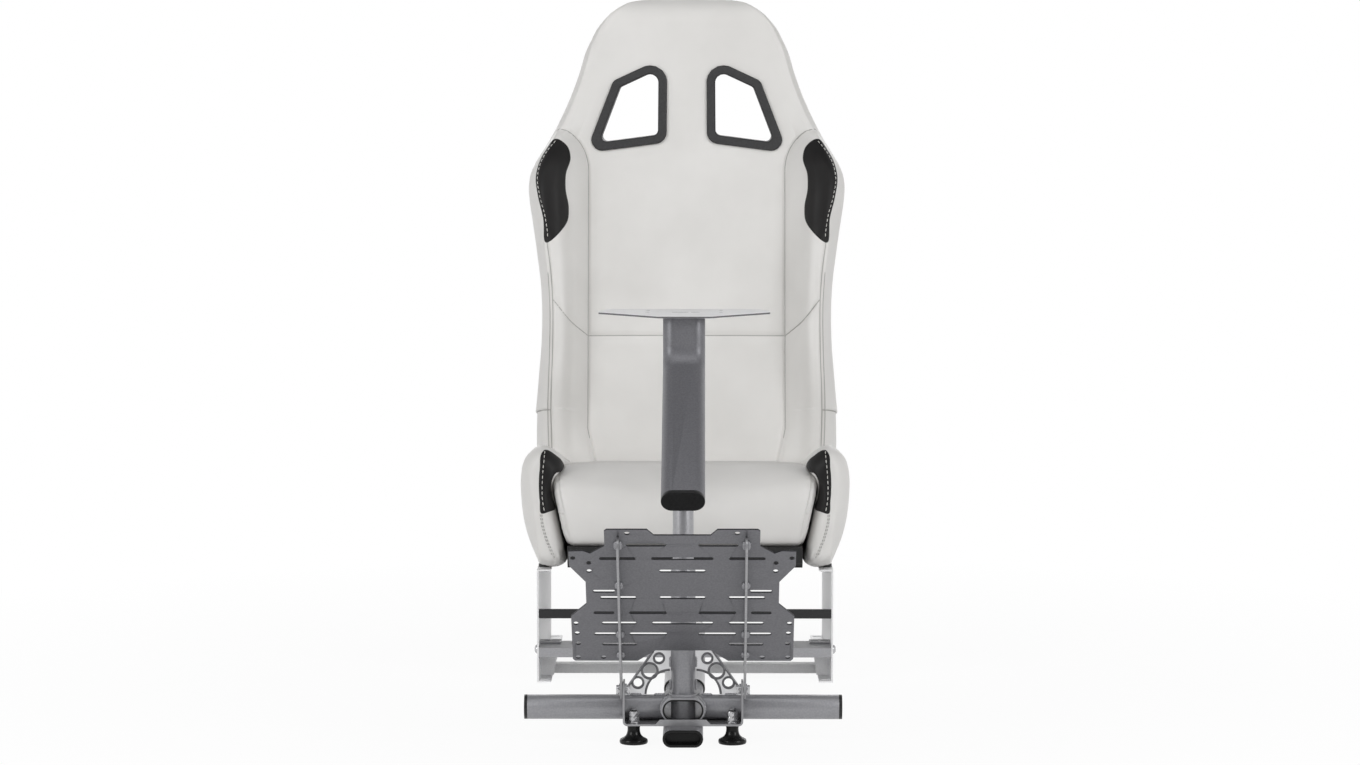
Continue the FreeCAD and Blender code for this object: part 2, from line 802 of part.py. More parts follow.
# Levelling feet with their washers and nuts
nuts = new_body("foot_nuts")
for side, sign in SIDES:
    foot = new_body("levelling_foot_" + side)
    s = sketch(foot, "XZ_Plane")
    outline(
        s,
        [
            (0, 0),
            (D["foot_radius"], 0),
            (D["foot_radius"], D["foot_rim"] - D["foot_chamfer"]),
            (D["foot_radius"] - D["foot_chamfer"], D["foot_rim"]),
            (D["foot_neck"], D["foot_rim"] + D["foot_chamfer"]),
            (D["foot_neck"], D["foot_top"]),
            (D["stud_radius"], D["foot_top"]),
            (D["stud_radius"], D["stud_top"]),
            (0, D["stud_top"]),
        ],
    )
    revolve(foot, s)
    foot.setExpression("Placement.Base.x", (sign * D["foot_x"]).text)
    centre = D["post_y"] - D["foot_fore"] + D["origin_shift"]
    foot.setExpression("Placement.Base.y", centre.text)

    across = sign * D["foot_x"]
    along = D["post_y"] - D["foot_fore"]
    s = sketch(nuts, "XY_Plane", bracket_top)
    circle(s, across, along, D["washer_radius"])
    circle(s, across, along, D["stud_radius"])
    pad(nuts, s, D["washer_height"])
    s = sketch(nuts, "XY_Plane", bracket_top + D["washer_height"])
    hexagon(s, across, along, D["nut_radius"])
    circle(s, across, along, D["stud_radius"])
    pad(nuts, s, 2 * D["nut_height"])

# Pedal arms, slotted pedal plate and pivot bolts
pivot_y = D["post_y"] - D["pivot_fore"]
arm_inner = D["bracket_half"] + D["turn_gap"]
bolt = new_body("pedal_bolts")
for side, sign in SIDES:
    arm = new_body("pedal_arm_" + side)
    start = arm_inner if sign > 0 else -arm_inner - D["arm_gauge"]
    s = sketch(arm, "YZ_Plane", start)
    slot(s, 0, D["arm_length"], 0, D["arm_half"])
    circle(s, 0, 0, D["pivot_radius"] + D["turn_gap"])
    pad(arm, s, D["arm_gauge"])
    place(arm, pivot_y, D["pivot_z"], 1, D["pedal_angle"])

    head = arm_inner + D["arm_gauge"] + D["turn_gap"]
    s = sketch(bolt, "YZ_Plane", head if sign > 0 else -head - D["bolt_dome"])
    circle(s, pivot_y, D["pivot_z"], D["bolt_radius"])
    pad(bolt, s, D["bolt_dome"])
    tail = D["bracket_half"] - D["sheet_gauge"]
    s = sketch(bolt, "YZ_Plane", tail if sign > 0 else -head)
    circle(s, pivot_y, D["pivot_z"], D["pivot_radius"])
    pad(bolt, s, head - tail)
    s = sketch(bolt, "YZ_Plane", tail - D["nut_height"] if sign > 0 else -tail)
    circle(s, pivot_y, D["pivot_z"], D["nut_radius"])
    pad(bolt, s, D["nut_height"])

plate = new_body("pedal_plate")
s = sketch(plate, "XY_Plane", -D["arm_half"] - D["sheet_gauge"])
wide = D["plate_half"]
low = D["plate_low"]
high = D["plate_high"]
right_edge = [
    (wide * 0.25, low + 22),
    (wide * 0.41, low),
    (wide - 3, low),
    (wide, low + 4),
    (wide, low + 94),
    (wide - 20, low + 119),
    (wide - 20, low + 164),
    (wide, low + 196),
    (wide, high - 43),
    (wide - 18, high - 42),
    (wide - 27, high - 47),
    (wide - 45, high - 32),
    (wide - 45, high - 3),
    (wide - 48, high),
    (wide * 0.31, high),
    (wide * 0.25, high - 11),
]
left_edge = [(-x, y) for x, y in reversed(right_edge)]
outline(s, right_edge + left_edge)
SLOT_ROWS = [
    (237.7, ((20, 70),)),
    (211.0, ((-39, 39), (58.5, 104))),
    (186.0, ((-29, 29),)),
    (145.0, ((85, 113),)),
    (132.0, ((-29, 29), (58.5, 104))),
    (101.0, ((20, 68), (86.5, 113))),
    (79.5, ((-39, 39), (59, 103))),
    (57.0, ((20, 68), (85.5, 113))),
    (35.5, ((59, 103),)),
]
HOLES = [
    (68.5, 261.0),
    (136.8, 212.0),
    (117.0, 202.5),
    (117.0, 186.0),
    (136.0, 79.0),
    (135.0, 58.5),
    (134.0, 37.0),
    (135.0, 8.0),
    (102.0, 8.0),
]
rim = D["slot_radius"]
for along, spans in SLOT_ROWS:
    for x0, x1 in spans:
        slot(s, x0 + rim, x1 - rim, low + along, rim)
        if x0 > 0:
            slot(s, rim - x1, -x0 - rim, low + along, rim)
for across, along in HOLES:
    for sign in (-1, 1):
        circle(s, sign * across, low + along, D["hole_radius"])
pad(plate, s, D["sheet_gauge"])
place(plate, pivot_y, D["pivot_z"], 1, D["pedal_angle"])

# Height-adjusting stem, its top cut to the underside of the column
lean = D["column_angle"]
under_y = D["column_y"] + sine(lean) * D["oval_height"] / 2
under_z = D["column_z"] - cosine(lean) * D["oval_height"] / 2
stem = new_body("column_stem")
stem_radius = post_radius - D["tube_wall"] - D["stem_fit"]
s = sketch(stem, "XY_Plane", D["stem_foot"])
circle(s, 0, D["post_y"], stem_radius)
circle(s, 0, D["post_y"], stem_radius - D["tube_wall"])
pad(stem, s, D["column_z"] + D["stem_spare"] - D["stem_foot"])
s = sketch(stem, "YZ_Plane", -D["post_dia"])
reach = D["oval_width"] * 2
end_y = under_y + cosine(lean) * reach
end_z = under_z + sine(lean) * reach
outline(s, [(under_y, under_z), (end_y, end_z), (end_y, end_z + reach), (under_y, end_z + reach)])
pocket(stem, s, 2 * D["post_dia"], True)

# Bent oval column with its front cap
column = new_body("column_tube")
profile = sketch(column, "XZ_Plane")
oval(profile, D["oval_width"], D["oval_height"], ZERO)
oval(
    profile,
    D["oval_width"] - 2 * D["tube_wall"],
    D["oval_height"] - 2 * D["tube_wall"],
    ZERO,
)
sweep = 90 - lean
bend = D["column_bend"]
run = D["column_run"]
arc_y = run + sine(sweep) * bend
arc_z = bend - cosine(sweep) * bend
rise = D["wheel_z"] - D["column_z"] - sine(lean) * arc_y - cosine(lean) * arc_z
path = sketch(column, "YZ_Plane")
path.addGeometry(Part.LineSegment(vector((0, 0)), vector((run, 0))))
hub = Part.Circle(vector((run, bend)), FreeCAD.Vector(0, 0, 1), bend.value)
turn = math.radians(sweep.value)
path.addGeometry(Part.ArcOfCircle(hub, -math.pi / 2, turn - math.pi / 2))
top_y = arc_y + cosine(sweep) * rise
top_z = arc_z + sine(sweep) * rise
path.addGeometry(Part.LineSegment(vector((arc_y, arc_z)), vector((top_y, top_z))))
tie(path, "Coincident", 0, 1, -1, 1)
tie(path, "Tangent", 0, 2, 1, 1)
tie(path, "Tangent", 1, 2, 2, 1)
tie(path, "Horizontal", 0)
bind(path, "DistanceX", 0, 1, 0, 2, run)
bind(path, "Radius", 1, bend)
fix_point(path, 2, 2, top_y, top_z)
close(profile)
close(path)
doc.recompute()
pipe = column.newObject("PartDesign::AdditivePipe", "column_pipe")
pipe.Profile = profile
pipe.Spine = path
pipe.Transition = "Transformed"
column.Tip = pipe
doc.recompute()
place(column, D["column_y"], D["column_z"], 1, lean)

cap = new_body("column_cap")
s = sketch(cap, "XZ_Plane")
oval(s, D["oval_width"], D["oval_height"], ZERO)
pad(cap, s, D["end_cap"])
place(cap, D["column_y"], D["column_z"], 1, lean)

# Wheel plate
wheel = new_body("wheel_plate")
s = sketch(wheel, "XY_Plane", D["wheel_z"])
nose = D["nose_half"]
wide = D["wheel_half"]
tip = D["wheel_tip"]
edge = [
    (nose, D["wheel_front"]),
    (wide, tip),
    (wide, tip + D["wheel_side"]),
    (wide - D["wheel_taper"], D["wheel_rear"]),
]
outline(s, edge + [(-x, y) for x, y in reversed(edge)])
bolt_mid = D["wheel_rear"] - D["bolt_back"]
for sx in (-1, 1):
    for sy in (-1, 1):
        circle(s, sx * D["bolt_span_x"] / 2, bolt_mid + sy * D["bolt_span_y"] / 2, D["hole_radius"])
for x0, x1 in ((-14, 3), (12, 18)):
    slot(s, x0, x1, tip + D["wheel_slot_back"], D["hole_radius"])
pad(wheel, s, D["sheet_gauge"])

# Seat pan, cushion and cushion bolsters
slope = sine(D["back_lean"]) / cosine(D["back_lean"])


def back_face(z):
    """Where the backrest's front plane stands at a height."""
    return D["back_y"] + (z - D["back_z"]) * slope


pan = new_body("seat_pan")
s = sketch(pan, "YZ_Plane", -D["pan_half"])
outline(
    s,
    [
        (D["pan_front"] + D["pan_chamfer"], seat_floor),
        (back_face(seat_floor), seat_floor),
        (back_face(pan_top), pan_top),
        (D["pan_front"], pan_top),
        (D["pan_front"], seat_floor + D["pan_chamfer"]),
    ],
)
pad(pan, s, 2 * D["pan_half"])

# The cushion narrows downwards and tucks under the bolsters, so both share these inner corners.
edge_z = pan_top + D["cushion_edge"]
shoulder_x = D["cushion_half"] - D["cushion_shoulder"]
shoulder_z = edge_z + D["cushion_shoulder"]
INNER_EDGE = [(D["pan_half"], seat_floor, 5), (D["cushion_half"], edge_z, 10), (shoulder_x, shoulder_z, 9)]

cushion = new_body("seat_cushion")
front = D["cushion_front"]
nose_top = pan_top + D["cushion_height"] + D["cushion_nose"] * D["cushion_fall"]
rear_top = nose_top - (D["back_y"] - front) * D["cushion_fall"]
s = sketch(cushion, "YZ_Plane", -D["cushion_half"])
rounded_loop(
    s,
    [
        (front, pan_top, 16),
        (back_face(pan_top), pan_top, 5),
        (back_face(rear_top), rear_top, 10),
        (front, nose_top, D["cushion_nose"]),
    ],
)
pad(cushion, s, 2 * D["cushion_half"])
trim_to(cushion, "XZ_Plane", -2 * D["back_y"], mirrored(INNER_EDGE), 4 * D["back_y"])

for side, sign in SIDES:
    bolster = new_body("cushion_bolster_" + side)
    outer = D["bolster_half"]
    tall = seat_floor + D["bolster_height"]
    rear = seat_floor + D["bolster_rear"]
    profile = list(reversed(INNER_EDGE)) + [
        (outer - 24, seat_floor, 12),
        (outer + 1, seat_floor + 96, 60),
        (outer, tall, 24),
        (outer - 50, tall + 2, 20),
    ]
    s = sketch(bolster, "XZ_Plane", -2 * D["back_y"])
    rounded_loop(s, [(sign * x, z, r) for x, z, r in profile])
    pad(bolster, s, 2 * D["back_y"])
    trim_to(
        bolster,
        "YZ_Plane",
        -2 * outer,
        [
            (D["bolster_front"], seat_floor, 14),
            (back_face(seat_floor) - D["bolster_gap"], seat_floor, 4),
            (back_face(rear) - D["bolster_gap"], rear, 8),
            (D["bolster_front"], tall + 5, D["cushion_nose"]),
        ],
        4 * outer,
    )

# Backrest: one rounded outline, thinner at the head, with all its edges rounded and two openings
back = new_body("backrest_pad")
depth = D["back_depth"]
wide = D["back_half"]
s = sketch(back, "XZ_Plane", -depth)
rounded_loop(
    s,
    mirrored(
        [
            (wide - 34, D["back_foot"], 34),
            (wide - 16, 25, 120),
            (wide - 27, 215, 150),
            (wide, 412, 45),
            (wide - 71, 555, 100),
            (wide - 121, D["back_top"], 58),
        ]
    ),
)
block = pad(back, s, depth)
s = sketch(back, "YZ_Plane", -wide)
neck = D["back_top"] - 200
outline(
    s,
    [(depth, neck), (D["head_depth"], D["back_top"]), (D["head_depth"], 2 * neck), (depth, 2 * neck)],
)
block = pocket(back, s, 2 * wide, True)
doc.recompute()
block = round_edges(back, block, broad_faces(block.Shape, -1), D["back_corner"])
doc.recompute()
block = round_edges(back, block, broad_faces(block.Shape, 1), D["back_corner"])
TRIM = [(31, 476.5, 18), (155.8, 460, 17), (113.4, 572.5, 14), (30, 611.8, 26)]
TRIM_HOLE = [(44.4, 488.3, 9), (135.2, 476.3, 8), (102.7, 562.6, 7), (43.7, 590.4, 13)]
for sign in (-1, 1):
    s = sketch(back, "XZ_Plane", D["cut_over"])
    rounded_loop(s, [(sign * x, z, r) for x, z, r in TRIM])
    pocket(back, s, depth + 2 * D["cut_over"], False)
place(back, D["back_y"], D["back_z"], -1, D["back_lean"])

# Side wings of the backrest
WINGS = [
    (46, 0, 23, 0.55),
    (108, 0, 27, 0.9),
    (254, 0, 30, 1.0),
    (354, 0, 17, 1.0),
    (406, 0, 11, 0.98),
    (449, 6, 22, 0.8),
    (484, 14, 43, 0.45),
]
for side, sign in SIDES:
    wing = new_body("backrest_bolster_" + side)
    sections = []
    for level, near_inset, far_inset, share in WINGS:
        reach = D["wing_depth"] * share
        near = D["wing_inner"] + near_inset
        far = D["back_half"] - far_inset
        edges = (near, far) if sign > 0 else (-far, -near)
        sections.append((size(level), edges[0], edges[1], -reach, ZERO, D["wing_corner"]))
    loft(wing, sections)
    place(wing, D["back_y"], D["back_z"], -1, D["back_lean"])

# Dark trims that line the harness openings
for side, sign in SIDES:
    trim = new_body("harness_trim_" + side)
    s = sketch(trim, "XZ_Plane", -D["trim_depth"])
    for corners in (TRIM, TRIM_HOLE):
        rounded_loop(s, [(sign * x, z, r) for x, z, r in corners])
    pad(trim, s, D["trim_depth"] + D["trim_lip"])
    place(trim, D["back_y"], D["back_z"], -1, D["back_lean"])

doc.recompute()

faults = []
for item in doc.Objects:
    if "Invalid" in item.State or "Error" in item.State:
        faults.append(item.Name)
for part in PARTS:
    if part.Shape.isNull() or not part.Shape.isValid():
        faults.append(part.Label + " shape")
if faults:
    raise RuntimeError("faulty objects: " + ", ".join(faults))

os.makedirs("parts", exist_ok=True)
for part in PARTS:
    part.Shape.exportStep("parts/%s.step" % part.Label)
box = Part.makeCompound([p.Shape for p in PARTS]).BoundBox
ends = (box.XMin, box.XMax, box.YMin, box.YMax, box.ZMin, box.ZMax)
print("nodes", len(PARTS), "box", [round(end, 1) for end in ends])
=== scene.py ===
import math

import bpy
import numpy as np
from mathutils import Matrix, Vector
from mathutils.bvhtree import BVHTree


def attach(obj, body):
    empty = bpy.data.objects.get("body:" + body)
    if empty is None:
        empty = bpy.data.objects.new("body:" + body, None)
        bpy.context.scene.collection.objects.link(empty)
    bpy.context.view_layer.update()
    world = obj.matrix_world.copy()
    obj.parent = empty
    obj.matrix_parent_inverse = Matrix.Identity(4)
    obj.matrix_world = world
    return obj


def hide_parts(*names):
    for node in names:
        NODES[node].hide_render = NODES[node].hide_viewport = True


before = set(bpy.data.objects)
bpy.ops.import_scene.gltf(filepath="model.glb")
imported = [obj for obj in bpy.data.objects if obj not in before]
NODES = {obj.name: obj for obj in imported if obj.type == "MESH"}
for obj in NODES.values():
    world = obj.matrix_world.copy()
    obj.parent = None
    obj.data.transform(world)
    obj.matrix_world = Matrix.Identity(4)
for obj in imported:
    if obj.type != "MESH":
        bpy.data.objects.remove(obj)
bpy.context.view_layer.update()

# Camera: level with the photo's viewpoint, in metres and photo pixels
PHOTO_WIDTH = 1360
PHOTO_MIDDLE = Vector((680.0, 382.5))
FOCAL_PIXELS = 3804.9
SENSOR_WIDTH = 36.0
CAMERA_PLACE = Vector((0.028, -5.3134, 0.8718))
CAMERA_PITCH = math.radians(4.7043)
CAMERA_YAW = math.radians(0.375)
VIEWPOINT = Vector((0.0, CAMERA_PLACE.y, CAMERA_PLACE.z))

scene = bpy.context.scene
scene.view_settings.view_transform = "Standard"
lens = bpy.data.cameras.new("photo_camera")
lens.sensor_width = SENSOR_WIDTH
lens.lens = FOCAL_PIXELS / PHOTO_WIDTH * SENSOR_WIDTH
lens.clip_end = 60.0
camera = bpy.data.objects.new("photo_camera", lens)
camera.location = CAMERA_PLACE
camera.rotation_euler = (math.pi / 2 - CAMERA_PITCH, 0.0, CAMERA_YAW)
scene.collection.objects.link(camera)
scene.camera = camera


def sight(across, row):
    """The direction from the camera through a photo pixel; across counts from the seat's midline."""
    up = -(row - PHOTO_MIDDLE.y) / FOCAL_PIXELS
    along = math.cos(CAMERA_PITCH) + up * math.sin(CAMERA_PITCH)
    rise = up * math.cos(CAMERA_PITCH) - math.sin(CAMERA_PITCH)
    return Vector((across / FOCAL_PIXELS, along, rise)).normalized()


# Materials
# Levels of facing between which the painted edge shade fades into a sheet's own colour
EDGE_SHADE_LEAN = (0.6, 0.92)


class Nodes:
    """The shader nodes of a material or of the world."""

    def __init__(self, owner):
        owner.use_nodes = True
        self.tree = owner.node_tree
        self.tree.nodes.clear()

    def add(self, kind, values=None):
        """A node with some of its inputs set."""
        node = self.tree.nodes.new("ShaderNode" + kind)
        for name, value in (values or {}).items():
            node.inputs[name].default_value = value
        return node

    def link(self, start, end):
        self.tree.links.new(start, end)

    def math(self, operation, *values):
        """The result of a sum on numbers and outputs."""
        node = self.add("Math")
        node.operation = operation
        for socket, value in zip(node.inputs, values):
            if isinstance(value, float):
                socket.default_value = value
            else:
                self.link(value, socket)
        return node.outputs["Value"]

    def ramp(self, source, low, high, start=0.3, end=0.7):
        """A two-colour ramp between two levels of a source."""
        node = self.add("ValToRGB")
        for element, position, colour in zip(node.color_ramp.elements, (start, end), (low, high)):
            element.position = position
            element.color = (*colour, 1.0)
        self.link(source, node.inputs["Fac"])
        return node.outputs["Color"]

    def spread(self, source, low, high, start=0.0, end=1.0):
        """Maps a source's range to another one."""
        node = self.add("MapRange", {"From Min": start, "From Max": end, "To Min": low, "To Max": high})
        self.link(source, node.inputs["Value"])
        return node.outputs["Result"]

    def mix(self, share, first, second):
        """Two shaders blended by a share."""
        node = self.add("MixShader")
        for socket, source in zip(node.inputs, (share, first, second)):
            self.link(source, socket)
        return node.outputs["Shader"]

    def seen_rays(self):
        """1 for rays that show the background: camera, glossy and transmission rays."""
        rays = self.add("LightPath").outputs
        seen = self.math("MAXIMUM", rays["Is Camera Ray"], rays["Is Glossy Ray"])
        return self.math("MAXIMUM", seen, rays["Is Transmission Ray"])


class Paint(Nodes):
    """A node material with a principled shader and object coordinates."""

    def __init__(self, name, roughness=0.5, metallic=0.0, specular=0.5):
        self.material = bpy.data.materials.new(name)
        super().__init__(self.material)
        output = self.add("OutputMaterial")
        finish = {"Roughness": roughness, "Metallic": metallic, "Specular IOR Level": specular}
        self.shader = self.add("BsdfPrincipled", finish)
        self.link(self.shader.outputs["BSDF"], output.inputs["Surface"])
        coords = self.add("TexCoord")
        self.place = coords.outputs["Object"]
        self.facing = coords.outputs["Normal"]

    def noise(self, scale, detail=4.0, stretch=None):
        """Noise in object space, at so many cells a metre."""
        node = self.add("TexNoise", {"Scale": scale, "Detail": detail})
        source = self.place
        if stretch:
            mapping = self.add("Mapping", {"Scale": stretch})
            self.link(source, mapping.inputs["Vector"])
            source = mapping.outputs["Vector"]
        self.link(source, node.inputs["Vector"])
        return node.outputs["Fac"]

    def cells(self, scale):
        """Distance to the nearest cell edge, for leather grain."""
        node = self.add("TexVoronoi", {"Scale": scale})
        node.feature = "DISTANCE_TO_EDGE"
        self.link(self.place, node.inputs["Vector"])
        return node.outputs["Distance"]

    def colour(self, low, high, scale, detail=4.0, stretch=None):
        self.link(self.ramp(self.noise(scale, detail, stretch), low, high), self.shader.inputs["Base Color"])

    def paint_edge_shade(self, across, shade):
        """Paints shade on the edges of a sheet that lies across a direction: faces that turn away from that
        direction take the shade colour.
        """
        lean = self.add("VectorMath")
        lean.operation = "DOT_PRODUCT"
        lean.inputs[1].default_value = across
        self.link(self.facing, lean.inputs[0])
        size = self.math("ABSOLUTE", lean.outputs["Value"])
        mix = self.add("Mix")
        mix.data_type = "RGBA"
        start = next(s for s in mix.inputs if s.name == "A" and s.type == "RGBA")
        start.default_value = (*shade, 1.0)
        share = self.ramp(size, (0.0, 0.0, 0.0), (1.0, 1.0, 1.0), *EDGE_SHADE_LEAN)
        self.link(share, mix.inputs["Factor"])
        socket = self.shader.inputs["Base Color"]
        colour_in = next(s for s in mix.inputs if s.name == "B" and s.type == "RGBA")
        colour_out = next(s for s in mix.outputs if s.type == "RGBA")
        self.link(socket.links[0].from_socket, colour_in)
        self.link(colour_out, socket)

    def rough(self, low, high, scale):
        self.link(self.spread(self.noise(scale), low, high), self.shader.inputs["Roughness"])

    def bump(self, heights, depth, strength):
        """Adds a bump after those already there."""
        node = self.add("Bump", {"Distance": depth, "Strength": strength})
        self.link(heights, node.inputs["Height"])
        socket = self.shader.inputs["Normal"]
        if socket.is_linked:
            self.link(socket.links[0].from_socket, node.inputs["Normal"])
        self.link(node.outputs["Normal"], socket)


def leather(name, low, high, rough, specular=0.4):
    """Leatherette: fine pebbled grain, slow wrinkling and a soft satin sheen."""
    paint = Paint(name, rough, 0.0, specular)
    paint.colour(low, high, 9.0, 3.0)
    paint.rough(rough - 0.06, rough + 0.08, 30.0)
    paint.bump(paint.cells(650.0), 0.00025, 0.35)
    paint.bump(paint.noise(26.0, 3.0), 0.0012, 0.18)
    return paint.material


def coated(name, low, high, rough, metallic, across=None, shade=None):
    """Powder-coated steel: orange peel, faint flake, a satin finish and, on sheets, painted shade on the
    edges.
    """
    paint = Paint(name, rough, metallic)
    paint.colour(low, high, 420.0, 2.0)
    if across:
        paint.paint_edge_shade(across, shade)
    paint.rough(rough - 0.05, rough + 0.07, 60.0)
    paint.bump(paint.noise(900.0, 2.0), 0.0001, 0.18)
    paint.bump(paint.noise(90.0, 2.0), 0.0003, 0.05)
    return paint.material


def brushed(name, low, high, rough, across=None, shade=None):
    """Zinc-plated steel with rolling marks and, on sheets, painted shade on the edges."""
    paint = Paint(name, rough, 0.85)
    paint.colour(low, high, 60.0, 6.0, (1.0, 12.0, 1.0))
    if across:
        paint.paint_edge_shade(across, shade)
    paint.rough(rough - 0.08, rough + 0.1, 45.0)
    paint.bump(paint.noise(700.0, 4.0, (0.2, 1.0, 1.0)), 0.00008, 0.25)
    return paint.material


def moulded(name, low, high, rough, specular=0.35):
    """Moulded plastic with a fine spark-eroded texture."""
    paint = Paint(name, rough, 0.0, specular)
    paint.colour(low, high, 300.0, 3.0)
    paint.rough(rough - 0.05, rough + 0.08, 80.0)
    paint.bump(paint.noise(1400.0, 2.0), 0.00012, 0.3)
    return paint.material


WHITE_LEATHER = leather("white_leatherette", (0.66, 0.65, 0.63), (0.72, 0.71, 0.69), 0.46)
DARK_LEATHER = leather("dark_leatherette", (0.010, 0.0095, 0.0095), (0.017, 0.016, 0.016), 0.46, 0.2)
DARK_PAINT = coated("dark_powder_coat", (0.145, 0.145, 0.157), (0.18, 0.18, 0.192), 0.4, 0.4)
PLATE_FACING = (0.0, 0.7193, 0.6947)
# The pedal plate's paint takes a near-black painted shade on its edges and slot walls.
PLATE_PAINT = coated(
    "plate_powder_coat", (0.145, 0.145, 0.157), (0.18, 0.18, 0.192), 0.36, 0.5,
    PLATE_FACING, (0.03, 0.03, 0.033),
)
# The wheel plate's paint darkens faces that turn from upright: painted shade on its side edges.
SHELF_PAINT = coated(
    "shelf_powder_coat", (0.76, 0.76, 0.765), (0.82, 0.82, 0.825), 0.4, 0.1,
    (0.0, 0.0, 1.0), (0.12, 0.12, 0.125),
)
GREY_PAINT = coated("grey_powder_coat", (0.27, 0.27, 0.285), (0.32, 0.32, 0.335), 0.38, 0.45)
SILVER_PAINT = coated("silver_powder_coat", (0.33, 0.33, 0.345), (0.39, 0.39, 0.405), 0.38, 0.4)
LIGHT_PAINT = coated("light_powder_coat", (0.77, 0.77, 0.775), (0.83, 0.83, 0.835), 0.42, 0.2)
DULL_ZINC = brushed("dull_zinc_plate", (0.31, 0.31, 0.32), (0.39, 0.39, 0.40), 0.38)
# Dark zinc for the gussets' rims: painted shade along their edges and holes.
RIM_SHADE_ZINC = brushed("rim_shade_zinc", (0.13, 0.13, 0.137), (0.19, 0.19, 0.197), 0.34)
ZINC = brushed("zinc_plate", (0.42, 0.42, 0.43), (0.6, 0.6, 0.61), 0.24)
# The gussets' zinc darkens faces that turn from the gusset plane: painted shade on their edges and hole
# walls.
SHEET_ZINC = brushed(
    "zinc_plated_sheet", (0.66, 0.66, 0.67), (0.78, 0.78, 0.79), 0.3, (0.0, 1.0, 0.0), (0.06, 0.06, 0.065)
)
BLACK_PLASTIC = moulded("black_plastic", (0.012, 0.012, 0.012), (0.02, 0.02, 0.02), 0.38)
GLOSS_PLASTIC = moulded("glossy_black_plastic", (0.006, 0.006, 0.006), (0.009, 0.009, 0.009), 0.2, 0.2)
TRIM_PLASTIC = moulded("trim_plastic", (0.034, 0.034, 0.035), (0.046, 0.046, 0.047), 0.55, 0.3)
BLACK_PAINT = coated("black_paint", (0.010, 0.010, 0.011), (0.017, 0.017, 0.018), 0.4, 0.0)
THREAD = leather("white_thread", (0.62, 0.61, 0.58), (0.74, 0.73, 0.7), 0.7)
# Grey darker than the white leather: painted shadow in the seams and under the hem, laid on as thin cords;
# the foot stitches take it too.
SEAM_SHADOW_GREY = leather("seam_shadow_grey", (0.36, 0.355, 0.34), (0.43, 0.425, 0.41), 0.7, 0.2)

NODE_FINISH = [
    (LIGHT_PAINT, ["spine_tube", "side_plate_left", "side_plate_right", "floor_bars"]),
    (SILVER_PAINT, ["front_beam", "rear_beam", "spine_blocks", "corner_tabs", "post_saddle", "column_stem"]),
    (GREY_PAINT, ["front_spine", "lower_post", "cross_tube_left", "cross_tube_right"]),
    (DARK_PAINT, ["column_tube"]),
    (PLATE_PAINT, ["pedal_plate"]),
    (SHELF_PAINT, ["wheel_plate"]),
    (BLACK_PAINT, ["brace_bar"]),
    (DULL_ZINC, ["pedal_bracket", "pedal_arm_left", "pedal_arm_right"]),
    (SHEET_ZINC, ["gusset_left", "gusset_right"]),
    (ZINC, ["seat_bolts"]),
    (BLACK_PLASTIC, ["spine_collar", "seat_spacers", "cross_tube_cap_left", "cross_tube_cap_right"]),
    (BLACK_PLASTIC, ["column_cap", "seat_pan"]),
]
WELD_REACH = 0.00001
EDGE_ROUND = 0.0006
EDGE_ANGLE = math.radians(40)
for finish, names in NODE_FINISH:
    for name in names:
        node = NODES[name]
        node.data.materials.clear()
        node.data.materials.append(finish)
        weld = node.modifiers.new("weld", "WELD")
        weld.merge_threshold = WELD_REACH
        bevel = node.modifiers.new("edge", "BEVEL")
        bevel.width = EDGE_ROUND
        bevel.segments = 2
        bevel.limit_method = "ANGLE"
        bevel.angle_limit = EDGE_ANGLE

# Mesh helpers
CRISP_ANGLE = math.radians(32)
SIDES = (("left", -1), ("right", 1))
MIRROR = np.array((-1.0, 1.0, 1.0))


def add_mesh(name, points, faces):
    """An object with a mesh of its own."""
    mesh = bpy.data.meshes.new(name)
    mesh.from_pydata([tuple(p) for p in points], [], faces)
    piece = bpy.data.objects.new(name, mesh)
    scene.collection.objects.link(piece)
    return piece


def add_piece(name, shape, material, body, crisp=False):
    """A smooth mesh object that rides on a body; a crisp one keeps its sharp edges."""
    piece = add_mesh(name, *shape)
    piece.data.materials.append(material)
    piece.data.shade_smooth()
    if crisp:
        piece.data.set_sharp_from_angle(angle=CRISP_ANGLE)
    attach(piece, body)
    return piece


def between(t, gap, start, start_slope, end, end_slope):
    """Smooth values part of the way from one point to the next, from both ends and their slopes."""
    a = (1 + 2 * t) * (1 - t) ** 2
    b = t * (1 - t) ** 2
    c = t * t * (3 - 2 * t)
    d = t * t * (t - 1)
    return a * start + b * gap * start_slope + c * end + d * gap * end_slope


def hermite(points, at):
    """Smooth values at the given levels through (level, value) pairs."""
    level = np.array([p[0] for p in points], float)
    value = np.array([p[1] for p in points], float)
    slope = np.gradient(value, level)
    i = np.clip(np.searchsorted(level, at) - 1, 0, len(level) - 2)
    gap = level[i + 1] - level[i]
    t = np.clip((at - level[i]) / gap, 0.0, 1.0)
    return between(t, gap, value[i], slope[i], value[i + 1], slope[i + 1])


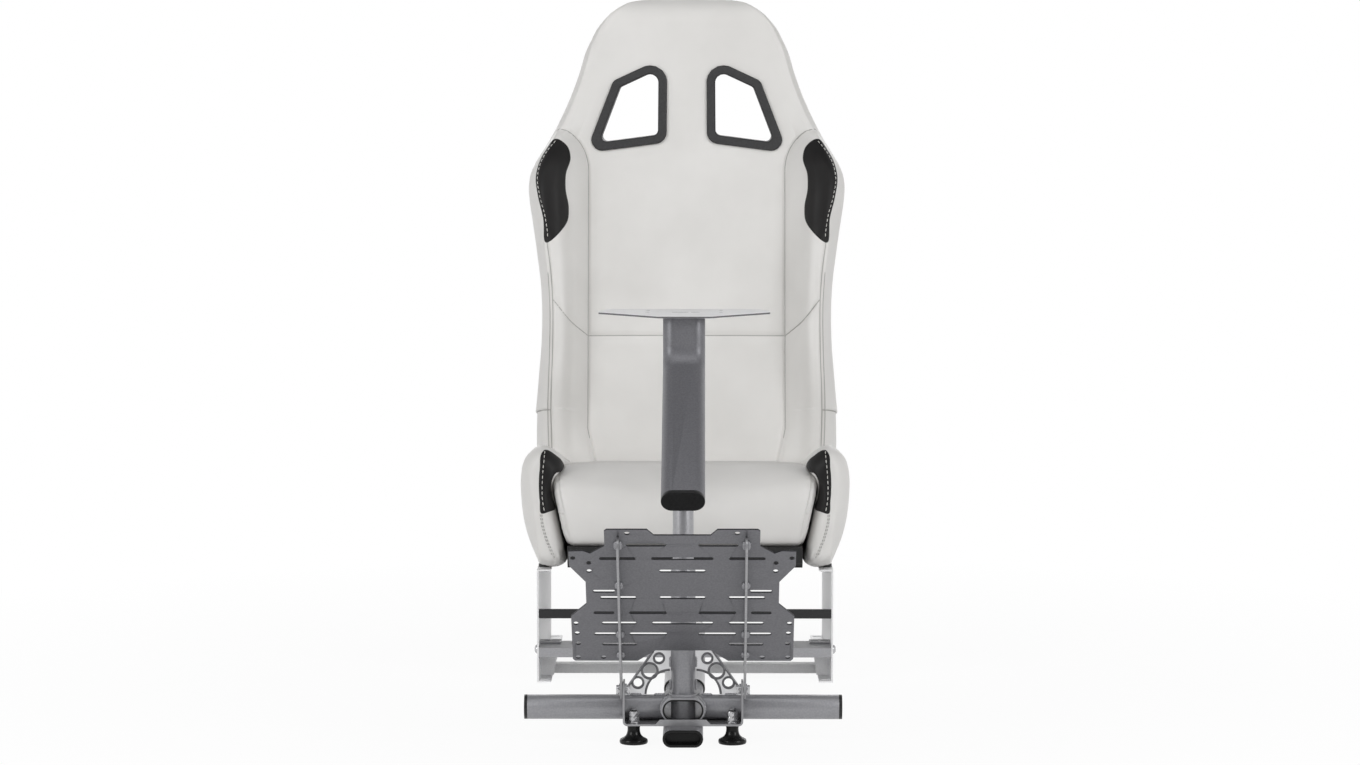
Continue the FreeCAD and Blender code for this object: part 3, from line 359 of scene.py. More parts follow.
def flowing(points, counts, closed=False):
    """Points along a smooth curve through the given ones, so many for each span."""
    points = np.array(points, float)
    last = len(points) if closed else len(points) - 1
    if closed:
        points = np.vstack([points, points[:1]])
    steps = np.linalg.norm(np.diff(points, axis=0), axis=1)
    level = np.concatenate([[0.0], np.cumsum(np.maximum(steps, 1e-6))])
    if closed:
        before = level[-2] - level[-1]
        wide = np.concatenate([[before], level, [level[-1] + level[1]]])
        held = np.vstack([points[-2], points, points[1]])
        slope = np.gradient(held, wide, axis=0)[1:-1]
    else:
        slope = np.gradient(points, level, axis=0)
    out = []
    for i in range(last):
        t = np.linspace(0.0, 1.0, counts[i], endpoint=False)[:, None]
        gap = level[i + 1] - level[i]
        out.append(between(t, gap, points[i], slope[i], points[i + 1], slope[i + 1]))
    if not closed:
        out.append(points[-1:])
    return np.vstack(out)


def outward(points, faces):
    """A closed form's faces, turned so that they look out of it."""
    corners = np.array([(f[0], f[k], f[k + 1]) for f in faces for k in range(1, len(f) - 1)])
    a, b, c = points[corners[:, 0]], points[corners[:, 1]], points[corners[:, 2]]
    volume = np.einsum("ij,ij->", a, np.cross(b, c))
    return faces if volume > 0 else [face[::-1] for face in faces]


def sleeve(rings, closed):
    """Faces between equal rings, with the last one joined to the first in a closed form."""
    count, total = len(rings[0]), len(rings)
    faces = []
    for r in range(total if closed else total - 1):
        low, high = r * count, (r + 1) % total * count
        for i in range(count):
            j = (i + 1) % count
            faces.append((low + i, low + j, high + j, high + i))
    return faces


def skin(rings):
    """Points and faces of a closed form through equal rings, capped at both ends."""
    count = len(rings[0])
    points = np.vstack([*rings, rings[0].mean(0), rings[-1].mean(0)])
    faces = sleeve(rings, False)
    tail = len(points) - 2
    top = tail - count
    for i in range(count):
        j = (i + 1) % count
        faces.append((j, i, tail))
        faces.append((top + i, top + j, tail + 1))
    return points, outward(points, faces)


def hoop(rings):
    """Points and faces of a hollow form whose last ring meets its first."""
    points = np.vstack(rings)
    return points, outward(points, sleeve(rings, True))


def joined(shapes):
    """Points and faces of several shapes as one mesh."""
    points, faces, first = [], [], 0
    for shape_points, shape_faces in shapes:
        points.append(shape_points)
        faces += [tuple(first + i for i in face) for face in shape_faces]
        first += len(shape_points)
    return np.vstack(points), faces


def lathe(profile, place, axis, sides=48):
    """A form turned about an axis, from steps of (radius, height), with True added for a hexagon."""
    axis = Vector(axis)
    way = axis.orthogonal().normalized()
    other = axis.cross(way)
    rings = []
    for radius, height, *hexed in profile:
        ring = []
        for k in range(sides):
            turn = 2 * math.pi * k / sides
            flat = math.cos(math.pi / 6) / math.cos(turn % (math.pi / 3) - math.pi / 6)
            reach = radius * flat if hexed else radius
            out = (way * math.cos(turn) + other * math.sin(turn)) * reach
            ring.append(Vector(place) + out + axis * height)
        rings.append(np.array(ring))
    return skin(rings)


def strand(path, reach, sides=8):
    """A round bar along a path, with a radius at each point."""
    path = np.array(path, float)
    ahead = np.gradient(path, axis=0)
    ahead /= np.linalg.norm(ahead, axis=1)[:, None]
    side = np.cross(ahead, np.array((0.31, 0.52, 0.79)))
    side /= np.linalg.norm(side, axis=1)[:, None]
    up = np.cross(ahead, side)
    turn = np.linspace(0.0, 2 * math.pi, sides, endpoint=False)
    rings = []
    for i in range(len(path)):
        circle = np.outer(np.cos(turn), side[i]) + np.outer(np.sin(turn), up[i])
        rings.append(path[i] + reach[i] * circle)
    return skin(rings)


def path_length(path):
    """How far along a path each of its points is."""
    steps = np.linalg.norm(np.diff(np.array(path, float), axis=0), axis=1)
    return np.concatenate([[0.0], np.cumsum(steps)])


BEAD_SCALE = 0.0032


def bead(path, radius):
    """A weld bead: a bar laid in overlapping scales that closes at both ends."""
    at = path_length(path)
    end = np.minimum(1.0, np.minimum(at, at[-1] - at) / radius)
    ripple = 0.82 + 0.3 * np.abs(np.sin(math.pi * at / BEAD_SCALE))
    return strand(path, radius * (0.15 + 0.85 * np.sqrt(end)) * ripple)


def cord(path, radius):
    """A thin even cord that tapers to its ends."""
    at = path_length(path)
    end = np.clip(np.minimum(at, at[-1] - at) / (3 * radius), 0.05, 1.0)
    return strand(path, radius * np.sqrt(end), 6)


def path_distance(x, z, path):
    """Distance in a plane from points to an open path."""
    best = np.full(np.shape(x), 1e9)
    for (x0, z0), (x1, z1) in zip(path[:-1], path[1:]):
        dx, dz = x1 - x0, z1 - z0
        t = np.clip(((x - x0) * dx + (z - z0) * dz) / (dx * dx + dz * dz), 0.0, 1.0)
        best = np.minimum(best, np.hypot(x - x0 - t * dx, z - z0 - t * dz))
    return best


SEAM_DEPTH = 0.003
SEAM_WIDTH = 0.0024
PUFF_HEIGHT = 0.0012
PUFF_REACH = 0.015


def seam_sink(distance):
    """How far a panel sinks at a seam, with a slight swell beside it."""
    groove = SEAM_DEPTH * np.exp(-((distance / SEAM_WIDTH) ** 2))
    puff = PUFF_HEIGHT * np.exp(-(((distance - PUFF_REACH) / PUFF_REACH * 1.6) ** 2))
    return groove - puff


# Backrest: level sections from a front panel, two wings and a rounded back
LEAN = math.radians(9.7)
BACK_FOOT = Vector((0.0, 0.46995, 0.290))
BACK_DEPTH = 0.084
WING_DEPTH = 0.060
HALF_WIDTH = [
    (-0.100, 0.212), (-0.05, 0.223), (0.0, 0.229), (0.060, 0.229), (0.110, 0.226), (0.167, 0.222),
    (0.254, 0.223), (0.305, 0.229), (0.354, 0.236), (0.385, 0.2405), (0.406, 0.242), (0.425, 0.240),
    (0.449, 0.231), (0.470, 0.220), (0.491, 0.208), (0.545, 0.182), (0.587, 0.1665), (0.625, 0.155),
    (0.641, 0.1475), (0.657, 0.1394), (0.6725, 0.1275), (0.6836, 0.1165), (0.6915, 0.1045),
    (0.6978, 0.0915), (0.7005, 0.081), (0.7028, 0.066), (0.704, 0.048),
]
WING_SHARE = [
    (-0.100, 0.16), (-0.02, 0.3), (0.046, 0.6), (0.108, 0.9), (0.180, 1.0), (0.354, 1.0), (0.406, 0.97),
    (0.440, 0.82), (0.470, 0.5), (0.497, 0.2), (0.530, 0.04), (0.560, 0.0), (0.700, 0.0),
]
SEAM_X = 0.151
SHOULDER_LOW = 0.432
SHOULDER_HIGH = 0.497
BACK_TOP = 0.704
TOP_ROUND = 0.034
LOWER_SEAM = 0.178
FOOT_BEND = 0.035
HEM_LEVEL = 0.062
HEM_STEP = 0.0024
HEM_FADE = 0.03
WING_EDGE = 0.004
PANEL_CROWN = 0.005
HEAD_START = 0.5
HEAD_TAPER = 1.7
PANEL_STEPS = 44
OUTER_STEPS = [9, 9, 8, 9, 9, 7, 7, 7, 8, 8]
HALF_FRONT = PANEL_STEPS + sum(OUTER_STEPS[:4])
PIPING_COLUMN = PANEL_STEPS + sum(OUTER_STEPS[:7])
BACK_LOW = -0.100


def back_place(x, y, z):
    """Backrest coordinates to the shared frame."""
    c, s = math.cos(LEAN), math.sin(LEAN)
    return np.stack([x, BACK_FOOT.y + y * c + z * s, BACK_FOOT.z + z * c - y * s], -1)


def wing_seam(z):
    """Where the wing's inner seam runs at a level."""
    rise = np.clip((z - SHOULDER_LOW) / (SHOULDER_HIGH - SHOULDER_LOW), 0.0, 1.0)
    bend = 1 - np.sqrt(1 - rise ** 2)
    reach = hermite(HALF_WIDTH, SHOULDER_HIGH) - WING_EDGE
    inside = SEAM_X + (reach - SEAM_X) * bend - 0.2 * np.clip(FOOT_BEND - z, 0.0, 0.05)
    return np.where(z > SHOULDER_HIGH, hermite(HALF_WIDTH, z) - WING_EDGE, inside)


def back_thickness(z):
    """How deep the backrest is at a level: thinner towards the head."""
    return BACK_DEPTH * (1 - np.maximum(z - HEAD_START, 0.0) * HEAD_TAPER)


def back_section(z):
    """The right half of a level section, from the front middle round to the back middle."""
    half = float(hermite(HALF_WIDTH, z))
    if z > HEM_LEVEL:
        half += HEM_STEP * math.exp((HEM_LEVEL - z) / HEM_FADE)
    share = float(hermite(WING_SHARE, z))
    deep = WING_DEPTH * max(share, 0.0)
    inner = min(float(wing_seam(z)), half * 0.8)
    wing = half - inner
    plain = 1 - max(share, 0.0)
    crown = PANEL_CROWN * min(1.0, max(0.0, (0.46 - z) / 0.15))
    thick = float(back_thickness(z))
    front = inner * (1 - (1 - np.linspace(0.0, 1.0, PANEL_STEPS, endpoint=False)) ** 1.25)
    front_y = -crown * (1 - (front / inner) ** 2)
    outer = [
        (inner, 0.0),
        (inner + 0.28 * wing, -0.50 * deep),
        (inner + 0.55 * wing, -0.93 * deep),
        (inner + 0.76 * wing, -0.95 * deep + 0.002 * plain),
        (half - 0.006 - 0.004 * plain, -0.60 * deep + 0.008 * plain),
        (half, 0.024),
        (half - 0.001, thick * 0.55),
        (half - 0.009, thick - 0.016),
        (half - 0.030, thick),
        (half * 0.6, thick + 0.004),
        (0.0, thick + 0.006),
    ]
    rest = flowing(outer, OUTER_STEPS)
    x = np.concatenate([front, rest[:, 0]])
    y = np.concatenate([front_y, rest[:, 1]])
    lift = max(0.0, z - (BACK_TOP - TOP_ROUND)) / TOP_ROUND
    pull = TOP_ROUND * (1 - math.sqrt(max(0.0, 1 - min(lift, 1.0) ** 2)))
    low, high = pull * 0.85, thick - pull * 0.85
    return x, low + y * (high - low) / thick


def mirrored(x, y):
    """A closed section from its right half."""
    return np.concatenate([x, -x[-2:0:-1]]), np.concatenate([y, y[-2:0:-1]])


levels = np.sort(np.concatenate([
    np.linspace(BACK_LOW, 0.6625, 208, endpoint=False),
    [HEM_LEVEL - 0.0003, HEM_LEVEL + 0.0003],
    BACK_TOP - 0.043 * (1 - np.sin(np.linspace(0.0, math.pi / 2, 26))),
]))
sections = [mirrored(*back_section(z)) for z in levels]
back_x = np.array([s[0] for s in sections])
back_y = np.array([s[1] for s in sections])
back_z = np.repeat(levels[:, None], back_x.shape[1], axis=1)
front_side = np.zeros(back_x.shape[1], bool)
front_side[:HALF_FRONT] = True
front_side[-HALF_FRONT + 1:] = True
seam_levels = np.linspace(BACK_LOW, SHOULDER_HIGH, 120)
wing_line = list(zip(wing_seam(seam_levels), seam_levels))
lower_line = [(-SEAM_X, LOWER_SEAM), (SEAM_X, LOWER_SEAM)]
slant_line = [(SEAM_X, LOWER_SEAM), (0.176, 0.196), (0.203, 0.228)]
outer_line = [(0.213, 0.322), (0.206, 0.27), (0.203, 0.228), (0.203, 0.15), (0.206, 0.06), (0.204, -0.02)]
reach = path_distance(np.abs(back_x), back_z, wing_line)
for line in (lower_line, slant_line, outer_line):
    reach = np.minimum(reach, path_distance(np.abs(back_x), back_z, line))
back_y += np.where(front_side, seam_sink(reach), 0.0)

# Harness openings through the backrest


def rounded_corners(corners, steps=8):
    """Points along a closed outline of straight edges joined by arcs, from corners (x, z, radius)."""
    out = []
    count = len(corners)
    for i, (x, z, radius) in enumerate(corners):
        here = np.array((x, z))
        back = np.array(corners[i - 1][:2]) - here
        ahead = np.array(corners[(i + 1) % count][:2]) - here
        back /= np.linalg.norm(back)
        ahead /= np.linalg.norm(ahead)
        half = math.acos(float(back @ ahead)) / 2
        bisector = (back + ahead) / np.linalg.norm(back + ahead)
        centre = here + bisector * radius / math.sin(half)
        run = radius / math.tan(half)
        for t in np.linspace(0.0, 1.0, steps):
            way = (here + back * run - centre) * (1 - t) + (here + ahead * run - centre) * t
            out.append(tuple(centre + way / np.linalg.norm(way) * radius))
    return out


TRIM_EDGE = rounded_corners(
    [(0.031, 0.4765, 0.018), (0.1558, 0.46, 0.017), (0.1134, 0.5725, 0.014), (0.03, 0.6118, 0.026)]
)
TUCK_DEPTH = 0.0022
TUCK_REACH = 0.012
tuck = path_distance(np.abs(back_x), back_z, TRIM_EDGE + TRIM_EDGE[:1])
back_y += np.where(front_side, TUCK_DEPTH * np.exp(-((tuck / TUCK_REACH) ** 2)), 0.0)

rings_of_back = [back_place(back_x[i], back_y[i], back_z[i]) for i in range(len(levels))]
backrest = add_piece("backrest_upholstery", skin(rings_of_back), WHITE_LEATHER, "seat_frame")
HOLE_INSET = 0.3
CUTTER_SPAN = (-0.05, 0.15)
LEVEL_RISE = 0.165
TRIM_HOLE = rounded_corners(
    [(0.0444, 0.4883, 0.009), (0.1352, 0.4763, 0.008), (0.1027, 0.5626, 0.007), (0.0437, 0.5904, 0.013)]
)


def opening_ring(sign, inset, y):
    """An outline between the trim's edge and its hole at some depth, in an opening that runs level."""
    edge = np.array(TRIM_EDGE) * (1 - inset) + np.array(TRIM_HOLE) * inset
    level = edge[:, 1] + LEVEL_RISE * y
    return back_place(sign * edge[:, 0], np.broadcast_to(y, level.shape), level)


def opening_cutter(sign):
    """A prism through the backrest, a little inside the trim's outer edge."""
    return add_mesh("opening_cutter", *skin([opening_ring(sign, HOLE_INSET, y) for y in CUTTER_SPAN]))


def apply_modifiers(piece):
    """Makes a piece's mesh what its modifiers show."""
    graph = bpy.context.evaluated_depsgraph_get()
    mesh = bpy.data.meshes.new_from_object(piece.evaluated_get(graph))
    piece.modifiers.clear()
    piece.data = mesh


cutters = [opening_cutter(sign) for side, sign in SIDES]
for cutter in cutters:
    cut = backrest.modifiers.new("opening", "BOOLEAN")
    cut.object = cutter
    cut.operation = "DIFFERENCE"
    cut.solver = "EXACT"
apply_modifiers(backrest)
for cutter in cutters:
    bpy.data.objects.remove(cutter)
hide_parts("backrest_pad", "backrest_bolster_left", "backrest_bolster_right")

# Trims that line the harness openings
TRIM_FRONT = [(0.0, 0.006), (0.0, -0.0012), (0.12, -0.0030), (0.88, -0.0030), (1.0, -0.0012)]
TRIM_REAR = [(1.0, -0.001), (0.88, 0.0022), (0.3, 0.0022), (0.2, 0.0005), (0.2, -0.006)]
TRIM_PROUD = 0.0045
edge_level = np.array(TRIM_EDGE)[:, 1] + LEVEL_RISE * BACK_DEPTH
rear_face = back_thickness(edge_level) + TRIM_PROUD
for side, sign in SIDES:
    rings = [opening_ring(sign, inset, y) for inset, y in TRIM_FRONT]
    rings += [opening_ring(sign, inset, rear_face + lift) for inset, lift in TRIM_REAR]
    trim = add_piece("harness_trim_ring_" + side, hoop(rings), TRIM_PLASTIC, "seat_frame", True)
    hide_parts("harness_trim_" + side)

# Padded covers swell under cloth simulation


def vertex_normals(points, faces):
    """Normals of a mesh made of the given points and faces."""
    shape = add_mesh("shape", points, faces)
    normals = np.array([v.normal[:] for v in shape.data.vertices])
    bpy.data.meshes.remove(shape.data)
    return normals


EVENING_PASSES = 30


def swell(points, faces, held, cap, pressure=4.0, frames=20):
    """Points of a cover blown up by cloth simulation, moved no further than the cap and evened out."""
    body = add_mesh("swelling", points, faces)
    group = body.vertex_groups.new(name="held")
    group.add([int(i) for i in np.where(held)[0]], 1.0, "REPLACE")
    cloth = body.modifiers.new("swell", "CLOTH")
    cloth.settings.quality = 5
    cloth.settings.mass = 0.3
    cloth.settings.tension_stiffness = 20.0
    cloth.settings.compression_stiffness = 20.0
    cloth.settings.bending_stiffness = 4.0
    cloth.settings.use_pressure = True
    cloth.settings.uniform_pressure_force = pressure
    cloth.settings.vertex_group_mass = "held"
    cloth.settings.effector_weights.gravity = 0.0
    cloth.collision_settings.use_collision = False
    cloth.point_cache.frame_start = 1
    cloth.point_cache.frame_end = frames
    for number in range(1, frames + 1):
        scene.frame_set(number)
    graph = bpy.context.evaluated_depsgraph_get()
    blown = body.evaluated_get(graph).data
    moved = np.array([v.co[:] for v in blown.vertices]) - points
    scene.frame_set(1)
    bpy.data.meshes.remove(body.data)
    reach = np.linalg.norm(moved, axis=1)
    moved *= np.minimum(1.0, cap / np.maximum(reach, 1e-9))[:, None]
    links = np.array([pair for face in faces for pair in zip(face, face[1:] + face[:1])])
    count = np.maximum(np.bincount(links[:, 0], minlength=len(points)), 1)[:, None]
    for step in range(EVENING_PASSES):
        near = np.zeros_like(moved)
        np.add.at(near, links[:, 0], moved[links[:, 1]])
        moved = np.where(held[:, None], 0.0, (moved + near / count) / 2)
    return points + moved


# Seat cushion: a side profile carried across, drawn in at both ends and narrower below
CUSHION_LOW = 0.196
CUSHION_WIDE = 0.1885
CUSHION_ROUND = 0.018
CUSHION_SEAM = 0.1805
CUSHION_REST = 0.44
CUSHION_SWELL = 0.005
CUSHION_HALF = [
    (0.196, 0.1705), (0.214, 0.1735), (0.232, 0.177), (0.252, 0.1815), (0.270, 0.186), (0.285, 0.1885),
    (0.312, 0.1875),
]
cushion_profile = [
    (0.060, 0.196), (0.046, 0.204), (0.0395, 0.226), (0.040, 0.256), (0.050, 0.284), (0.071, 0.3),
    (0.099, 0.306), (0.150, 0.3025), (0.240, 0.294), (0.340, 0.284), (0.430, 0.275), (0.462, 0.266),
    (0.464, 0.230), (0.455, 0.199), (0.430, 0.196), (0.240, 0.196),
]
CUSHION_STEPS = [8, 8, 8, 8, 8, 8, 8, 10, 10, 10, 6, 6, 6, 4, 8, 8]
profile = flowing(cushion_profile, CUSHION_STEPS, closed=True)
side_steps = 1 - np.cos(np.linspace(0.0, math.pi / 2, 22))
across = np.concatenate([
    -CUSHION_WIDE + CUSHION_ROUND * side_steps[1:-1],
    np.linspace(-CUSHION_WIDE + CUSHION_ROUND, CUSHION_WIDE - CUSHION_ROUND, 96),
    CUSHION_WIDE - CUSHION_ROUND * side_steps[-2:0:-1],
])
middle = np.array([0.24, 0.245])
rings = []
for x in across:
    edge = max(0.0, (abs(x) - (CUSHION_WIDE - CUSHION_ROUND)) / CUSHION_ROUND)
    draw = CUSHION_ROUND * (1 - math.sqrt(max(0.0, 1 - edge * edge)))
    offset = profile - middle
    reach_y = np.abs(offset[:, 0]) - draw
    reach_z = np.abs(offset[:, 1]) - draw * 0.9
    y = middle[0] + np.sign(offset[:, 0]) * np.maximum(reach_y, 0.0)
    z = middle[1] + np.sign(offset[:, 1]) * np.maximum(reach_z, 0.0)
    z = np.where(offset[:, 1] > 0, z, np.maximum(z, CUSHION_LOW))
    rings.append(np.stack([x / CUSHION_WIDE * hermite(CUSHION_HALF, z), y, z], -1))
points, faces = skin(rings)
base = np.concatenate([np.repeat(across, len(profile)), [across[0], across[-1]]])
seam_gap = np.abs(np.abs(base) - CUSHION_SEAM)
at_foot = (points[:, 2] < CUSHION_LOW + 0.004) | (points[:, 1] > CUSHION_REST)
points = swell(points, faces, at_foot | (np.abs(base) > CUSHION_SEAM), CUSHION_SWELL)
path = np.concatenate([np.tile(path_length(profile), len(across)), [0.0, 0.0]])
pucker = np.sin(path / 0.0125 * 2 * math.pi) + 0.6 * np.sin(path / 0.0083 * 2 * math.pi + 1.1)
sink = 0.0022 * np.exp(-((seam_gap / 0.0016) ** 2))
sink = sink + 0.0005 * pucker * np.exp(-((seam_gap / 0.007) ** 2))
upper = np.clip((points[:, 2] - 0.206) / 0.01, 0.0, 1.0)
points = points - vertex_normals(points, faces) * (sink * upper)[:, None]
cushion = add_piece("seat_cushion_cover", (points, faces), WHITE_LEATHER, "seat_frame")
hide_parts("seat_cushion")

# Cushion bolsters: a rounded section with a broad foot, carried back from a round nose
BOLSTER_FRONT = 0.049
BOLSTER_REAR = 0.468
NOSE_ROUND = 0.034
BOLSTER_CREST = 0.095
BOLSTER_FALL = 0.052
BOLSTER_SIDE = 0.22
BOLSTER_TOP = 0.3375
BOLSTER_FOOT = 0.172
BOLSTER_REST = 0.45
BOLSTER_SWELL = 0.003
bolster_profile = [
    (0.1695, 0.172), (0.176, 0.1668), (0.200, 0.1662), (0.2065, 0.168), (0.2115, 0.177), (0.2165, 0.191),
    (0.2235, 0.214), (0.2295, 0.240), (0.2328, 0.268), (0.2335, 0.295), (0.232, 0.310), (0.2275, 0.322),
    (0.219, 0.3312), (0.2075, 0.3372), (0.197, 0.3362), (0.184, 0.327), (0.1735, 0.312), (0.1745, 0.305),
    (0.184, 0.294), (0.1885, 0.281), (0.1855, 0.255), (0.179, 0.222), (0.1725, 0.190),
]
section = flowing(bolster_profile, [5] * len(bolster_profile), closed=True)
heart = np.array([0.207, 0.252])
nose = np.linspace(0.0, math.pi / 2, 18)
stations = np.concatenate([
    BOLSTER_FRONT + NOSE_ROUND * (1 - np.cos(nose)),
    np.linspace(BOLSTER_FRONT + NOSE_ROUND, BOLSTER_REAR, 70)[1:],
])
rings = []
for y in stations:
    edge = max(0.0, 1 - (y - BOLSTER_FRONT) / NOSE_ROUND)
    keep = math.sqrt(max(0.0, 1 - edge * edge))
    offset = section - heart
    x = heart[0] + offset[:, 0] * (0.3 + 0.7 * keep)
    z = heart[1] + offset[:, 1] * (0.74 + 0.26 * keep)
    fall = BOLSTER_FALL * max(0.0, (y - BOLSTER_CREST) / (BOLSTER_REAR - BOLSTER_CREST))
    z = z - fall * np.clip((z - BOLSTER_SIDE) / (BOLSTER_TOP - BOLSTER_SIDE), 0.0, 1.0)
    rings.append(np.stack([x, np.full(len(x), y), z], -1)[::-1])
points, faces = skin(rings)
beside = (points[:, 0] < 0.19) & (points[:, 2] < 0.3)
held = (points[:, 2] < BOLSTER_FOOT) | (points[:, 1] > BOLSTER_REST) | beside
points = swell(points, faces, held, BOLSTER_SWELL)
FOOT_CORNER = np.array((0.176, 0.166))
from_corner = points[:, [0, 2]] - FOOT_CORNER
far = np.linalg.norm(from_corner, axis=1)
turn = np.arctan2(from_corner[:, 1], from_corner[:, 0])
crease = 0.0008 * np.sin(turn * 22.0) * np.exp(-(((far - 0.014) / 0.011) ** 2)) * (points[:, 1] < 0.12)
points = points - vertex_normals(points, faces) * crease[:, None]
bolsters = {}
for side, sign in SIDES:
    placed = points * np.array((sign, 1.0, 1.0))
    shape = (placed, outward(placed, faces))
    piece = add_piece("cushion_bolster_cover_" + side, shape, WHITE_LEATHER, "seat_frame")
    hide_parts("cushion_bolster_" + side)
    bolsters[side] = piece

# Dark panels and stitching, cast onto the covers from the photo's viewpoint


def surface(piece):
    """A tree to cast rays at, in the shared frame."""
    mesh = piece.data
    points = [v.co.copy() for v in mesh.vertices]
    return BVHTree.FromPolygons(points, [tuple(p.vertices) for p in mesh.polygons])


def touch(tree, across, row):
    """Where a photo pixel lands on a surface, and the way that surface faces."""
    place, normal, _, _ = tree.ray_cast(VIEWPOINT, sight(across, row))
    if place is None:
        return None, None
    if normal.y > 0.05:
        normal = -normal
    return place, normal


def row_span(polygon, row):
    """The lowest and highest crossing of a closed outline with a row."""
    hits = []
    for (x0, y0), (x1, y1) in zip(polygon, polygon[1:] + polygon[:1]):
        if (y0 - row) * (y1 - row) < 0:
            hits.append(x0 + (row - y0) * (x1 - x0) / (y1 - y0))
    return min(hits), max(hits)


PANEL_COLUMNS = 28
PANEL_THICKNESS = 0.0014
PANEL_TUCK = 0.0009
PANEL_LIFT = 0.0021
TUCK_PIXELS = 1.6


def panel(name, tree, polygon, sign):
    """A thin dark panel sewn inside a photo outline, its edge tucked into the cover."""
    smooth = [tuple(p) for p in flowing(polygon, [8] * len(polygon), closed=True)]
    rows = [p[1] for p in smooth]
    first, last = min(rows) + 0.15, max(rows) - 0.15
    count = max(8, int(last - first))
    points, faces = [], []
    for r in range(count + 1):
        row = first + (last - first) * r / count
        x0, x1 = row_span(smooth, row)
        for c in range(PANEL_COLUMNS + 1):
            across = x0 + (x1 - x0) * c / PANEL_COLUMNS
            place, normal = touch(tree, sign * across, row)
            if place is None:
                raise ValueError("%s misses its cover at %.1f, %.1f" % (name, across, row))
            edge = min(c, PANEL_COLUMNS - c) / PANEL_COLUMNS * (x1 - x0)
            edge = min(edge, row - first + 0.2, last - row + 0.2)
            lift = PANEL_LIFT * min(1.0, edge / TUCK_PIXELS) ** 0.5 - PANEL_TUCK
            points.append(place + normal * lift)
    width = PANEL_COLUMNS + 1
    for r in range(count):
        for c in range(PANEL_COLUMNS):
            a = r * width + c
            face = (a, a + 1, a + width + 1, a + width)
            faces.append(face if sign < 0 else face[::-1])
    piece = add_piece(name, (points, faces), DARK_LEATHER, "seat_frame")
    shell = piece.modifiers.new("thickness", "SOLIDIFY")
    shell.thickness = PANEL_THICKNESS
    shell.offset = -1.0


STITCH_SIDES = 6
STITCH_SHAPE = ((0.35, -0.0004), (0.9, 0.0004), (1.0, 0.0006), (0.9, 0.0004), (0.35, -0.0004))


def dashes(name, runs, material, length=0.0052, gap=0.0024, radius=0.00055):
    """Sewing thread: short rounded stitches along runs of (point, normal)."""
    points, faces = [], []
    last = len(STITCH_SHAPE) - 1
    for run in runs:
        steps = [0.0]
        for (a, _), (b, _) in zip(run[:-1], run[1:]):
            steps.append(steps[-1] + (b - a).length)
        start = 0.0
        while start + length < steps[-1]:
            spine = []
            for k in range(last + 1):
                at = start + length * k / last
                i = min(int(np.searchsorted(steps, at, side="right")) - 1, len(run) - 2)
                t = (at - steps[i]) / max(steps[i + 1] - steps[i], 1e-9)
                (a, a_normal), (b, b_normal) = run[i], run[i + 1]
                spine.append((a.lerp(b, t), a_normal.lerp(b_normal, t).normalized()))
            along = (spine[-1][0] - spine[0][0]).normalized()
            first = len(points)
            for (place, normal), (share, lift) in zip(spine, STITCH_SHAPE):
                side_way = along.cross(normal).normalized()
                for s in range(STITCH_SIDES):
                    turn = 2 * math.pi * s / STITCH_SIDES
                    ring = side_way * math.cos(turn) + normal * math.sin(turn)
                    points.append(place + normal * lift + ring * radius * share)
            for k in range(last):
                for s in range(STITCH_SIDES):
                    a = first + k * STITCH_SIDES + s
                    b = first + k * STITCH_SIDES + (s + 1) % STITCH_SIDES
                    faces.append((a, b, b + STITCH_SIDES, a + STITCH_SIDES))
            faces.append(tuple(first + s for s in reversed(range(STITCH_SIDES))))
            faces.append(tuple(first + last * STITCH_SIDES + s for s in range(STITCH_SIDES)))
            start += length + gap
    add_piece(name, (points, faces), material, "seat_frame")


def sewn(tree, path, sign, lift=0.0006):
    """A run of surface points under a photo path."""
    smooth = flowing(path, [14] * (len(path) - 1))
    run = []
    for across, row in smooth:
        place, normal = touch(tree, sign * across, row)
        if place is not None:
            run.append((place + normal * lift, normal))
    return run


back_tree = surface(backrest)
SHOULDER_PATCH = [
    (131.5, 138.5), (118.0, 147.5), (115.5, 157.5), (120.0, 174.0), (120.3, 189.0), (117.2, 208.0),
    (118.5, 221.0), (125.0, 231.0), (140.5, 243.0), (144.0, 218.0), (149.5, 195.0), (151.5, 178.0),
    (148.5, 163.5), (141.5, 150.0),
]
SHOULDER_STITCH = [
    (131.0, 141.5), (138.5, 151.5), (145.2, 164.0), (148.2, 178.0), (146.2, 195.0), (141.0, 217.0),
    (138.0, 239.0),
]
THIGH_PATCH = [
    (140.5, 449.6), (134.5, 451.4), (128.8, 455.4), (123.4, 460.0), (120.6, 465.0), (121.0, 470.5),
    (128.5, 473.0), (131.8, 478.0), (133.5, 487.0), (132.2, 498.0), (129.6, 509.3), (136.0, 512.0),
    (143.6, 514.0), (145.8, 500.6), (146.6, 484.8), (145.8, 467.9), (143.4, 452.5),
]
THIGH_STITCH = [
    (140.6, 452.0), (141.4, 460.6), (142.4, 475.2), (143.0, 489.7), (142.4, 500.6), (140.6, 511.5),
]
FOOT_STITCH = [
    (143.9, 514.5), (143.3, 521.2), (141.2, 530.9), (137.8, 541.8), (134.2, 550.3), (131.2, 557.6),
]
PATCH_LIFT = 0.0016
FOOT_STITCH_GAP = 0.8
